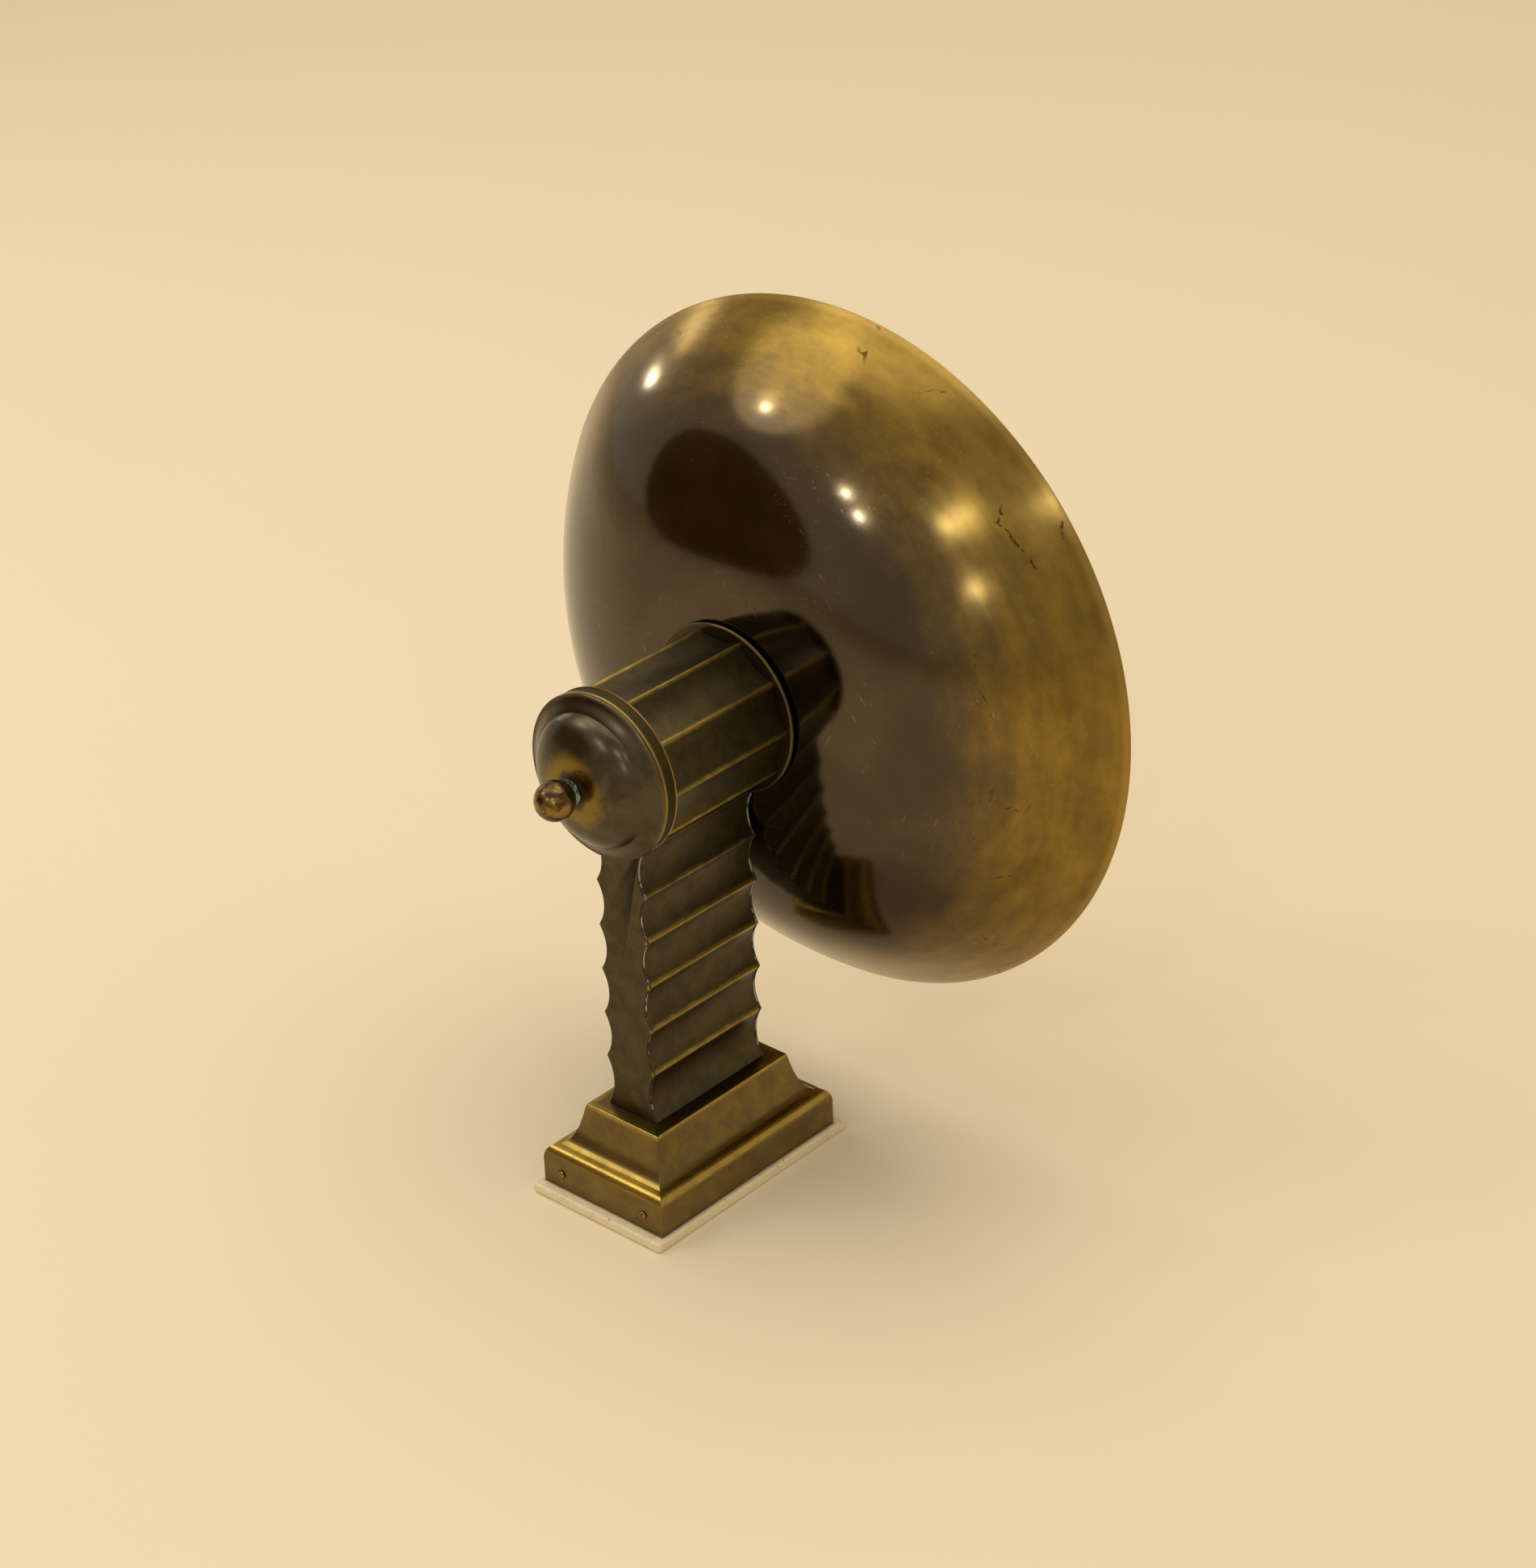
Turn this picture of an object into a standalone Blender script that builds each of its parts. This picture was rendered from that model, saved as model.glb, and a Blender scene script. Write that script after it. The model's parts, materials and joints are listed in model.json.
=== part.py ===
"""Art Deco wall uplighter: a fluted column on a moulded plinth carries a fluted
barrel with a spun dish at one end and a domed cap with a ball finial at the other.

Metres, +Z up the column, origin at the centre of the wooden board's underside.
The barrel's axis is parallel to Y: the dish opens towards +Y, the finial is at -Y.
"""
import bpy
import bmesh
from math import acos, cos, degrees, pi, radians, sin, sqrt
from mathutils import Euler, Matrix, Vector

# ---------------------------------------------------------------- driving sizes
GAP = 0.0003                 # left between pieces that touch
SHEET = 0.0012               # brass sheet of the plinth, the column and the dish
PLATE = 0.002                # steel strap and plate

BOARD_WIDTH = 0.098
BOARD_LENGTH = 0.160
BOARD_THICKNESS = 0.0063

PLINTH_WIDTH = 0.091
PLINTH_LENGTH = 0.147
PLINTH_HEIGHT = 0.050
PLINTH_SETBACK = 0.0183      # the top's edge stands in from the skirt by this
SKIRT_HEIGHT = 0.0155
SHOULDER_HEIGHT = 0.0083
SHOULDER_DEPTH = 0.0055
PLINTH_EDGE = 0.0005         # chamfer round the flat top

COLUMN_WIDTH = 0.036
COLUMN_DEPTH = 0.091
FOOT_FLUTE = 0.0316          # the lowest flute is a little taller than the others
FLUTE_PITCH = 0.0285
FLUTE_DEPTH = 0.0046
FLUTE_STEPS = 6              # straight runs in one flute's arc

AXIS_HEIGHT = 0.277          # of the barrel's axis above the wall
BARREL_RADIUS = 0.0475       # to the ridges
BARREL_FLUTES = 10
BARREL_FLUTE_DEPTH = 0.0053
BARREL_SETBACK = 0.0039      # of the barrel's front end behind the column's front face
BARREL_TAIL = 0.0015         # of the barrel's rear end past the column's rear face
BAND_LENGTH = 0.009
BAND_WALL = 0.0016
BAND_LIP = 0.0007            # the lip beside the cap stands out by this
BAND_LIP_WIDTH = 0.0022
FLANGE_PROUD = 0.0029        # the flange stands out past the ridges by this
FLANGE_THICKNESS = 0.0027

DISH_RADIUS = 0.208
DISH_DEPTH = 0.0907
DISH_CURVE = 3.1             # exponent of the spun profile
CLAMP_SCREW_INSET = 0.007    # of the dish's screws inside the barrel's wall
CLAMP_EDGE = 0.006           # from the screws' circle to the clamp ring's edge
CLAMP_SCREW_RADIUS = 0.002
CLAMP_SCREW_TAIL = 0.002     # of the screw past its nut
CLAMP_NUT = (0.007, 0.0032)  # across flats, height

CAP_RIM = 0.002
CAP_RISE = 0.0215            # from the rim's seat to the collar's seat
CAP_COVE = 0.0075
CAP_COVE_WIDTH = 0.0085
CAP_SPIGOT = 0.006           # how far the cap's spigot goes into the band
COLLAR_RADIUS = 0.0075
COLLAR_THICKNESS = 0.002
BALL_RADIUS = 0.0113

DISH_STEPS = 56              # flat sides round the dish
HOLE_SIDES = 15              # flat sides round a small hole
BARREL_STEPS = 40            # flat sides round the cap, the band and the flange
THROUGH = 0.02               # length of a cutter that goes right through a wall

TUBE_RADIUS = 0.005
TUBE_BORE = 0.004
TUBE_SHARE = 0.293           # how far the tube stands into the barrel, as a share of its inside
TUBE_TAIL = 0.004            # how far it stands out under its lower nut
TUBE_NUT = (0.015, 0.006)    # across flats, height
TUBE_WASHER = (0.0095, 0.0015)        # radius, thickness
CLAMP_PLATE_SHORT = 0.010    # the clamp plate is shorter than the column by this
ROD_RADIUS = 0.003
ROD_TAIL = 0.002             # of the rod past its front nut
ROD_END = 0.002              # how far the rod's end stops short of the ball's centre
ROD_NUT = (0.010, 0.005)     # across flats, height
BRIDGE_SETBACK = 0.065       # of the bridge behind the barrel's front end
BRIDGE_EAR = 0.010
BRIDGE_WIDTH = 0.012
STRAP_WIDTH = 0.016

HOLDER_SHARE = 0.512         # the holder's radius as a share of the barrel's inside
HOLDER_LENGTH = 0.0537
HOLDER_STAND = 0.0045        # how far the holder's mouth stands inside the dish
HOLDER_WALL = 0.0068
HOLDER_SHELL_WALL = 0.0006
HOLDER_SOCKET = 0.009        # depth of the nipple's socket in the holder's back
HOLDER_FLOOR = 0.018         # of the bulb's well above the holder's back
HOLDER_TERMINAL = (0.009, 0.0135)     # beside and below the barrel's axis
TERMINAL_SIZE = (0.006, 0.0055, 0.0065)
HOLDER_MOUTH = 0.002         # the round at the holder's mouth
SHELL_INSET = 0.004          # of the screw shell's ends inside the holder's well
BRACKET_PLAY = 0.003         # between the holder and its bracket
BRACKET_TOE = 0.005          # of the bracket's foot past its screw
NIPPLE_NUT = (0.014, 0.003)  # across flats, height
NIPPLE_TAIL = 0.001
CONTACT_WIDTH = 0.005
CONTACT_STRIP = 0.0006
BULB_RADIUS = 0.030
BULB_LENGTH = 0.105
BULB_DEPTH = 0.028           # how far the bulb's tip lies inside the holder's mouth
BULB_CAP_LENGTH = 0.027
BULB_GLASS_WALL = 0.0006
BULB_CAP_WALL = 0.0004
BULB_TUCK = 0.003            # how far the glass goes into its cap
BULB_NOSE = 0.005            # from the bulb's tip to the rear of its cap
FILAMENT_SPREAD = 0.016
FILAMENT_RADIUS = 0.0003

WIRE_RADIUS = 0.0011
WIRE_SPACING = 0.010         # between the points along a wire
INLET_RADIUS = 0.005
INLET_Y = 0.024
BUSH_WALL = 0.0012
BUSH_FLANGE = 0.002          # how far the bush's flange reaches past its hole
BUSH_RISE = 0.0025
BLOCK_Y = -0.032
BLOCK_SIZE = (0.024, 0.016, 0.013)
BLOCK_SCREW = (0.0019, 0.0023)        # radius, height
BLOCK_WELL = (0.0023, 0.003)          # radius, depth
TERMINAL_X = 0.0055
TERMINAL_HEIGHT = 0.0055     # of the block's bores above its base
SLOT_WIDTH = 0.0008
SLOT_DEPTH = 0.0009
SCREW_HEAD = (0.0034, 0.0024)         # radius, height
COVER_HEAD = (0.0023, 0.0014)
COVER_RECESS = 0.0004        # depth of the recess under the cover screw's head
COVER_SCREW_X = 0.0315
COVER_SCREW_HEIGHT = 0.0095  # above the board
COVER_SCREW_RADIUS = 0.0016
COVER_SCREW_LENGTH = 0.007
COVER_SLOT_TURN = 35         # degrees from one cover screw's slot to the next one's
BRACKET_SCREW_X = 0.030
BRACKET_SCREW_Y = 0.050
BRACKET_SCREW_RADIUS = 0.0017
BRACKET_SIDE = 0.006         # between the bracket's edge and the cover's wall
EAR_DROP = 0.001             # of the ears' tips below the skirt's top
PILOT_FLOOR = 0.001          # wood left under a pilot hole
BOARD_ROUND = 0.0008
BOARD_EASE = 0.001           # play round the bush in the board

# ------------------------------------------------------------ fits worked out
PLINTH_TOP = BOARD_THICKNESS + PLINTH_HEIGHT
COLUMN_FOOT = PLINTH_TOP + GAP
BARREL_FRONT = COLUMN_DEPTH / 2 - BARREL_SETBACK
BARREL_REAR = -COLUMN_DEPTH / 2 - BARREL_TAIL
FLANGE_BACK = BARREL_FRONT + GAP
FLANGE_FRONT = FLANGE_BACK + FLANGE_THICKNESS
FLANGE_RADIUS = BARREL_RADIUS + FLANGE_PROUD
VALLEY_RADIUS = BARREL_RADIUS - BARREL_FLUTE_DEPTH
BARREL_INSIDE = VALLEY_RADIUS - SHEET
CLAMP_SCREW_CIRCLE = BARREL_INSIDE - CLAMP_SCREW_INSET
CLAMP_RADIUS = CLAMP_SCREW_CIRCLE + CLAMP_EDGE
CLAMP_SCREW_HOLE = CLAMP_SCREW_RADIUS + GAP
DISH_BACK = FLANGE_FRONT + GAP
CLAMP_BACK = DISH_BACK + DISH_DEPTH * (CLAMP_RADIUS / DISH_RADIUS) ** DISH_CURVE + SHEET + GAP
CLAMP_FRONT = CLAMP_BACK + PLATE
BAND_REAR = BARREL_REAR - GAP - BAND_LENGTH
BAND_INSIDE = BARREL_RADIUS - BAND_WALL
CAP_DOME_RADIUS = BARREL_RADIUS - CAP_COVE_WIDTH
CAP_SEAT = BAND_REAR - GAP
CAP_TOP = CAP_SEAT - CAP_RISE
COLLAR_REAR = CAP_TOP - GAP - COLLAR_THICKNESS
NECK_RADIUS = 0.7 * COLLAR_RADIUS
BALL_Y = COLLAR_REAR - GAP - sqrt(BALL_RADIUS ** 2 - NECK_RADIUS ** 2)
BRIDGE_Y = BARREL_FRONT - BRIDGE_SETBACK
HOLDER_RADIUS = HOLDER_SHARE * BARREL_INSIDE
HOLDER_SHELL = HOLDER_RADIUS - HOLDER_WALL
BULB_SCREW = HOLDER_SHELL - 0.001
DISH_HOLE_RADIUS = HOLDER_RADIUS + 0.002
HOLDER_FRONT = DISH_BACK + SHEET + HOLDER_STAND
HOLDER_REAR = HOLDER_FRONT - HOLDER_LENGTH
WEB_FRONT = HOLDER_REAR - GAP
WEB_REAR = WEB_FRONT - PLATE
BULB_TIP = HOLDER_FRONT - BULB_DEPTH
BRACKET_BASE = BOARD_THICKNESS + GAP
BRACKET_TOP = BRACKET_BASE + PLATE
EAR_OUTSIDE = PLINTH_LENGTH / 2 - SHEET - GAP
EAR_TIP = BOARD_THICKNESS + SKIRT_HEIGHT - EAR_DROP
BRACKET_WIDTH = PLINTH_WIDTH - 2 * (SHEET + BRACKET_SIDE)
COVER_SCREW_Z = BOARD_THICKNESS + COVER_SCREW_HEIGHT
CLAMP_PLATE_TOP = PLINTH_TOP - SHEET - GAP
CLAMP_PLATE_BASE = CLAMP_PLATE_TOP - PLATE
LOWER_NUT_Z = CLAMP_PLATE_BASE - GAP - TUBE_NUT[1]
TUBE_BASE = LOWER_NUT_Z - TUBE_TAIL
BARREL_FLOOR = AXIS_HEIGHT - BARREL_INSIDE
TUBE_TOP = BARREL_FLOOR + TUBE_SHARE * BARREL_INSIDE

# ------------------------------------------------------------------ the scene
for old in list(bpy.data.objects):
    bpy.data.objects.remove(old, do_unlink=True)

parts = bpy.data.collections.new("art_deco_uplighter")
cutters = bpy.data.collections.new("cutters")
bpy.context.scene.collection.children.link(parts)
bpy.context.scene.collection.children.link(cutters)


def material(name, colour, metallic, roughness):
    """A Principled finish with one colour."""
    made = bpy.data.materials.new(name)
    made.use_nodes = True
    shader = made.node_tree.nodes["Principled BSDF"]
    shader.inputs["Base Color"].default_value = (*colour, 1.0)
    shader.inputs["Metallic"].default_value = metallic
    shader.inputs["Roughness"].default_value = roughness
    return made


CREAM_PAINT = material("cream_paint", (0.80, 0.72, 0.50), 0.0, 0.55)
BRIGHT_BRASS = material("rubbed_brass", (0.50, 0.32, 0.09), 1.0, 0.32)
DARK_BRASS = material("patinated_brass", (0.10, 0.075, 0.035), 1.0, 0.35)
DISH_BRASS = material("bronzed_dish", (0.20, 0.13, 0.05), 1.0, 0.22)
PLAIN_BRASS = material("plain_brass", (0.70, 0.52, 0.22), 1.0, 0.35)
STEEL = material("zinc_steel", (0.55, 0.55, 0.53), 1.0, 0.42)
PORCELAIN = material("white_porcelain", (0.86, 0.85, 0.80), 0.0, 0.18)
RUBBER = material("black_rubber", (0.02, 0.02, 0.02), 0.0, 0.7)
WIRE_BROWN = material("brown_insulation", (0.12, 0.05, 0.02), 0.0, 0.6)
WIRE_BLUE = material("blue_insulation", (0.03, 0.07, 0.20), 0.0, 0.6)
PEARL_GLASS = material("pearl_glass", (0.90, 0.90, 0.87), 0.0, 0.25)
BLACK_GLASS = material("black_glass", (0.01, 0.01, 0.012), 0.0, 0.15)
TUNGSTEN = material("tungsten", (0.30, 0.30, 0.31), 1.0, 0.40)


# ------------------------------------------------------------------- helpers
def finish(piece, finish_material, smooth_angle=32):
    """Give a piece its material, and shade it smooth below an angle."""
    piece.data.materials.clear()
    piece.data.materials.append(finish_material)
    if piece.type == "MESH":
        piece.data.shade_smooth()
        piece.data.set_sharp_from_angle(angle=radians(smooth_angle))
    return piece


def as_cutter(piece):
    """Move a piece to the cutters, where it isn't part of the object."""
    for collection in list(piece.users_collection):
        collection.objects.unlink(piece)
    cutters.objects.link(piece)
    piece.hide_render = True
    piece.display_type = "WIRE"
    return piece


def cut(piece, cutter):
    """Take a cutter's shape out of a piece, with the exact solver."""
    boolean = piece.modifiers.new("cut_" + cutter.name, "BOOLEAN")
    boolean.operation = "DIFFERENCE"
    boolean.solver = "EXACT"
    boolean.object = as_cutter(cutter)


def mesh_piece(name, mesh, location=(0, 0, 0), rotation=(0, 0, 0)):
    """An object for a mesh or a curve, among the parts."""
    piece = bpy.data.objects.new(name, mesh)
    piece.location = location
    piece.rotation_euler = rotation
    parts.objects.link(piece)
    return piece


def box(name, size, centre):
    """A box from a cube primitive, its size applied to its mesh."""
    mesh = bpy.data.meshes.new(name)
    shape = bmesh.new()
    bmesh.ops.create_cube(shape, size=1.0, matrix=Matrix.Diagonal((*size, 1.0)))
    shape.to_mesh(mesh)
    shape.free()
    return mesh_piece(name, mesh, centre)


ALONG_Y = (-pi / 2, 0, 0)    # local +Z along world +Y
ALONG_Z = (0, 0, 0)


def rod(name, radius, length, centre, rotation=ALONG_Z, sides=24):
    """A cylinder about its centre."""
    mesh = bpy.data.meshes.new(name)
    shape = bmesh.new()
    bmesh.ops.create_cone(shape, cap_ends=True, segments=sides, radius1=radius,
                          radius2=radius, depth=length)
    shape.to_mesh(mesh)
    shape.free()
    return mesh_piece(name, mesh, centre, rotation)


def turned(name, profile, location=(0, 0, 0), rotation=ALONG_Z, steps=24, closed=True, wall=None):
    """Spin a profile of (radius, height) about local Z.

    It runs down the outer side, top to bottom. A closed profile makes a ring,
    an open one runs from the axis to the axis, and with a wall it is a shell."""
    mesh = bpy.data.meshes.new(name)
    points = [(radius, 0, height) for radius, height in profile]
    edges = [(i, i + 1) for i in range(len(points) - 1)]
    if closed:
        edges.append((len(points) - 1, 0))
    mesh.from_pydata(points, edges, [])
    piece = mesh_piece(name, mesh, location, rotation)
    screw = piece.modifiers.new("turn", "SCREW")
    screw.axis = "Z"
    screw.steps = steps
    screw.render_steps = steps
    screw.use_merge_vertices = True
    screw.merge_threshold = 1e-6
    screw.use_smooth_shade = True
    if wall:
        solid = piece.modifiers.new("wall", "SOLIDIFY")
        solid.thickness = wall
        solid.offset = -1
    return piece


def ring(name, inner, outer, low, high, location=(0, 0, 0), rotation=ALONG_Z, steps=20):
    """A flat ring, washer or tube."""
    profile = [(outer, high), (outer, low), (inner, low), (inner, high)]
    return turned(name, profile, location, rotation, steps)


def outline(name, loops, thickness, location=(0, 0, 0), rotation=ALONG_Z):
    """Flat outlines filled and thickened about local Z, as one closed mesh."""
    curve = bpy.data.curves.new(name, "CURVE")
    curve.dimensions = "2D"
    curve.fill_mode = "BOTH"
    curve.extrude = thickness / 2
    for loop in loops:
        spline = curve.splines.new("POLY")
        spline.points.add(len(loop) - 1)
        spline.use_cyclic_u = True
        for point, (x, y) in zip(spline.points, loop):
            point.co = (x, y, 0, 1)
    drawn = mesh_piece(name + "_drawn", curve, location, rotation)
    bpy.context.view_layer.update()
    evaluated = drawn.evaluated_get(bpy.context.evaluated_depsgraph_get())
    mesh = bpy.data.meshes.new_from_object(evaluated)
    shape = bmesh.new()
    shape.from_mesh(mesh)
    bmesh.ops.remove_doubles(shape, verts=shape.verts, dist=1e-6)
    bmesh.ops.recalc_face_normals(shape, faces=shape.faces)
    shape.to_mesh(mesh)
    shape.free()
    mesh.name = name
    piece = mesh_piece(name, mesh, location, rotation)
    bpy.data.objects.remove(drawn)
    return piece


def hex_nut(name, size, bore, centre, rotation=ALONG_Z):
    """A plain nut of size (across flats, height) about its centre."""
    across_flats, height = size
    piece = rod(name, across_flats / sqrt(3), height, centre, rotation, sides=6)
    cut(piece, rod(name + "_bore", bore, height * 2, centre, rotation, HOLE_SIDES))
    return finish(piece, STEEL)


def slotted_screw(name, head, shank, length, seat, rotation, finish_material, slot_turn=0.0):
    """A screw with a domed, slotted head of (radius, height) on its seat.

    Local +Z points out of the head, and the shank runs the other way."""
    radius, height = head
    profile = [(0, height), (0.6 * radius, 0.85 * height), (radius, 0.35 * height), (radius, 0),
               (shank, 0), (shank, -length), (0, -length)]
    screw = turned(name, profile, seat, rotation, steps=14, closed=False)
    turn = Euler(rotation).to_matrix()
    slot = box(name + "_slot", (4 * radius, SLOT_WIDTH, 2 * SLOT_DEPTH),
               Vector(seat) + turn @ Vector((0, 0, height)))
    slot.rotation_euler = (turn @ Matrix.Rotation(slot_turn, 3, "Z")).to_euler()
    cut(screw, slot)
    return finish(screw, finish_material)


def wire(name, route, radius, spacing, finish_material):
    """A wire along a smooth curve through its route's points, a point every spacing."""
    points = [Vector(point) for point in route]
    ends = [points[0] * 2 - points[1]] + points + [points[-1] * 2 - points[-2]]
    smooth = []
    for i in range(1, len(ends) - 2):
        before, start, stop, after = ends[i - 1:i + 3]
        runs = max(1, round((stop - start).length / spacing))
        for k in range(runs):
            t = k / runs
            smooth.append(0.5 * (2 * start + (stop - before) * t
                                 + (2 * before - 5 * start + 4 * stop - after) * t ** 2
                                 + (3 * start - before - 3 * stop + after) * t ** 3))
    smooth.append(points[-1])
    curve = bpy.data.curves.new(name, "CURVE")
    curve.dimensions = "3D"
    curve.bevel_depth = radius
    curve.bevel_resolution = 1
    curve.use_fill_caps = True
    spline = curve.splines.new("POLY")
    spline.points.add(len(smooth) - 1)
    for point, place in zip(spline.points, smooth):
        point.co = (*place, 1)
    piece = mesh_piece(name, curve)
    piece.data.materials.append(finish_material)
    return piece


def arc(centre, radii, start, stop, count):
    """Points on an elliptical arc, its angles in degrees."""
    angles = [radians(start + (stop - start) * i / count) for i in range(count + 1)]
    return [(centre[0] + radii[0] * cos(a), centre[1] + radii[1] * sin(a)) for a in angles]


def bezier(p0, p1, p2, p3, count):
    """Points on a cubic Bezier."""
    points = []
    for i in range(count + 1):
        t = i / count
        weights = ((1 - t) ** 3, 3 * t * (1 - t) ** 2, 3 * t * t * (1 - t), t ** 3)
        points.append(tuple(sum(w * p[axis] for w, p in zip(weights, (p0, p1, p2, p3)))
                            for axis in (0, 1)))
    return points


def hollow(width, depth, count):
    """One concave flute as (along, inward) points, its last point left out.

    It is a shallow arc from ridge to ridge, depth at the middle."""
    radius = (width ** 2 / 4 + depth ** 2) / (2 * depth)
    points = []
    for i in range(count):
        along = width * i / count
        inward = sqrt(radius ** 2 - (along - width / 2) ** 2) - (radius - depth)
        points.append((along, inward))
    return points


# ---------------------------------------------------------- board and bracket
def build_board():
    """The painted board against the wall, with the cable hole and pilot holes."""
    board = box("wooden_backboard", (BOARD_WIDTH, BOARD_LENGTH, BOARD_THICKNESS),
                (0, 0, BOARD_THICKNESS / 2))
    round_over = board.modifiers.new("corners", "BEVEL")
    round_over.width = BOARD_ROUND
    round_over.segments = 2
    cut(board, rod("board_cable_hole", INLET_RADIUS + BOARD_EASE, THROUGH, (0, INLET_Y, 0)))
    pilot_depth = BOARD_THICKNESS - PILOT_FLOOR
    for number, (x, y) in enumerate(bracket_screw_places(), 1):
        pilot = rod(f"board_pilot_{number}", BRACKET_SCREW_RADIUS + GAP, 2 * pilot_depth,
                    (x, y, BOARD_THICKNESS), sides=HOLE_SIDES)
        cut(board, pilot)
    finish(board, CREAM_PAINT)


def bracket_screw_places():
    """(x, y) of the four screws into the board."""
    return [(sx * BRACKET_SCREW_X, sy * BRACKET_SCREW_Y) for sx in (-1, 1) for sy in (-1, 1)]


def cover_screw_places():
    """(x, end) of the four cover screws, where end is -1 or 1 along Y."""
    return [(sx * COVER_SCREW_X, end) for end in (-1, 1) for sx in (-1, 1)]


def build_bracket():
    """A steel strap bent up at both ends to take the cover screws."""
    out, base, top = EAR_OUTSIDE, BRACKET_BASE, BRACKET_TOP
    tip = EAR_TIP
    section = [(-out, base), (out, base), (out, tip), (out - PLATE, tip), (out - PLATE, top),
               (PLATE - out, top), (PLATE - out, tip), (-out, tip)]
    # local X along world Y, local Y along world Z, thickness along world X
    bracket = outline("wall_bracket", [section], BRACKET_WIDTH, (0, 0, 0), (pi / 2, 0, pi / 2))
    cut(bracket, rod("bracket_inlet", INLET_RADIUS + GAP, THROUGH, (0, INLET_Y, BRACKET_BASE)))
    for number, (x, y) in enumerate(bracket_screw_places(), 1):
        cut(bracket, rod(f"bracket_hole_{number}", BRACKET_SCREW_RADIUS + GAP, THROUGH,
                         (x, y, BRACKET_BASE), sides=HOLE_SIDES))
    for number, (x, end) in enumerate(cover_screw_places(), 1):
        cut(bracket, rod(f"ear_hole_{number}", COVER_SCREW_RADIUS + GAP, THROUGH,
                         (x, end * EAR_OUTSIDE, COVER_SCREW_Z), ALONG_Y, sides=HOLE_SIDES))
    finish(bracket, STEEL)
    seat = BRACKET_TOP + GAP
    for number, (x, y) in enumerate(bracket_screw_places(), 1):
        slotted_screw(f"bracket_screw_{number}", SCREW_HEAD, BRACKET_SCREW_RADIUS,
                      seat - PILOT_FLOOR - GAP, (x, y, seat), ALONG_Z, STEEL)


def build_bush():
    """The flanged rubber bush that lines the cable hole."""
    low, seat, high = BOARD_THICKNESS / 2, BRACKET_TOP + GAP, BRACKET_TOP + BUSH_RISE
    flange = INLET_RADIUS + BUSH_FLANGE
    bore = INLET_RADIUS - BUSH_WALL
    section = [(flange, high), (flange, seat), (INLET_RADIUS, seat), (INLET_RADIUS, low),
               (bore, low), (bore, high)]
    finish(turned("wire_bush", section, (0, INLET_Y, 0)), RUBBER)


def build_terminal_block():
    """A two-way porcelain block and its brass screws."""
    base = BRACKET_TOP + GAP
    top = base + BLOCK_SIZE[2]
    block = box("terminal_block", BLOCK_SIZE, (0, BLOCK_Y, base + BLOCK_SIZE[2] / 2))
    well_radius, well_depth = BLOCK_WELL
    radius, height = BLOCK_SCREW
    floor = top - well_depth
    for side, x in (("a", -TERMINAL_X), ("b", TERMINAL_X)):
        cut(block, rod("block_bore_" + side, WIRE_RADIUS + 2 * GAP, THROUGH,
                       (x, BLOCK_Y, base + TERMINAL_HEIGHT), ALONG_Y, sides=HOLE_SIDES))
        cut(block, rod("block_well_" + side, well_radius, 2 * well_depth, (x, BLOCK_Y, top),
                       sides=HOLE_SIDES))
        foot = floor + GAP
        head = foot + height
        screw = turned("block_screw_" + side, [(0, head), (radius, head), (radius, foot), (0, foot)],
                       (x, BLOCK_Y, 0), steps=12, closed=False)
        cut(screw, box("block_slot_" + side, (4 * radius, SLOT_WIDTH, 2 * SLOT_DEPTH), (x, BLOCK_Y, head)))
        finish(screw, PLAIN_BRASS)
    finish(block, PORCELAIN)


# ----------------------------------------------------------------- the plinth
def plinth_profile():
    """(inset from the skirt, height above the board), from the top's edge down."""
    shoulder = SKIRT_HEIGHT + SHOULDER_HEIGHT
    edge = (PLINTH_SETBACK, PLINTH_HEIGHT - PLINTH_EDGE)
    sweep = bezier(edge, (0.85 * PLINTH_SETBACK, 0.72 * PLINTH_HEIGHT),
                   (0.72 * PLINTH_SETBACK, 1.03 * shoulder), (SHOULDER_DEPTH, shoulder), 8)
    round_part = arc((SHOULDER_DEPTH, SKIRT_HEIGHT), (-SHOULDER_DEPTH, SHOULDER_HEIGHT), 90, 0, 5)
    return [(PLINTH_SETBACK + PLINTH_EDGE, PLINTH_HEIGHT)] + sweep + round_part[1:] + [(0, GAP)]


def place_rim(corners, inset, height):
    """Move four corners to a rectangle, inset from the skirt, at a height above the board."""
    for corner in corners:
        side_x = 1 if corner.co.x > 0 else -1
        side_y = 1 if corner.co.y > 0 else -1
        corner.co = (side_x * (PLINTH_WIDTH / 2 - inset), side_y * (PLINTH_LENGTH / 2 - inset),
                     BOARD_THICKNESS + height)


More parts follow.
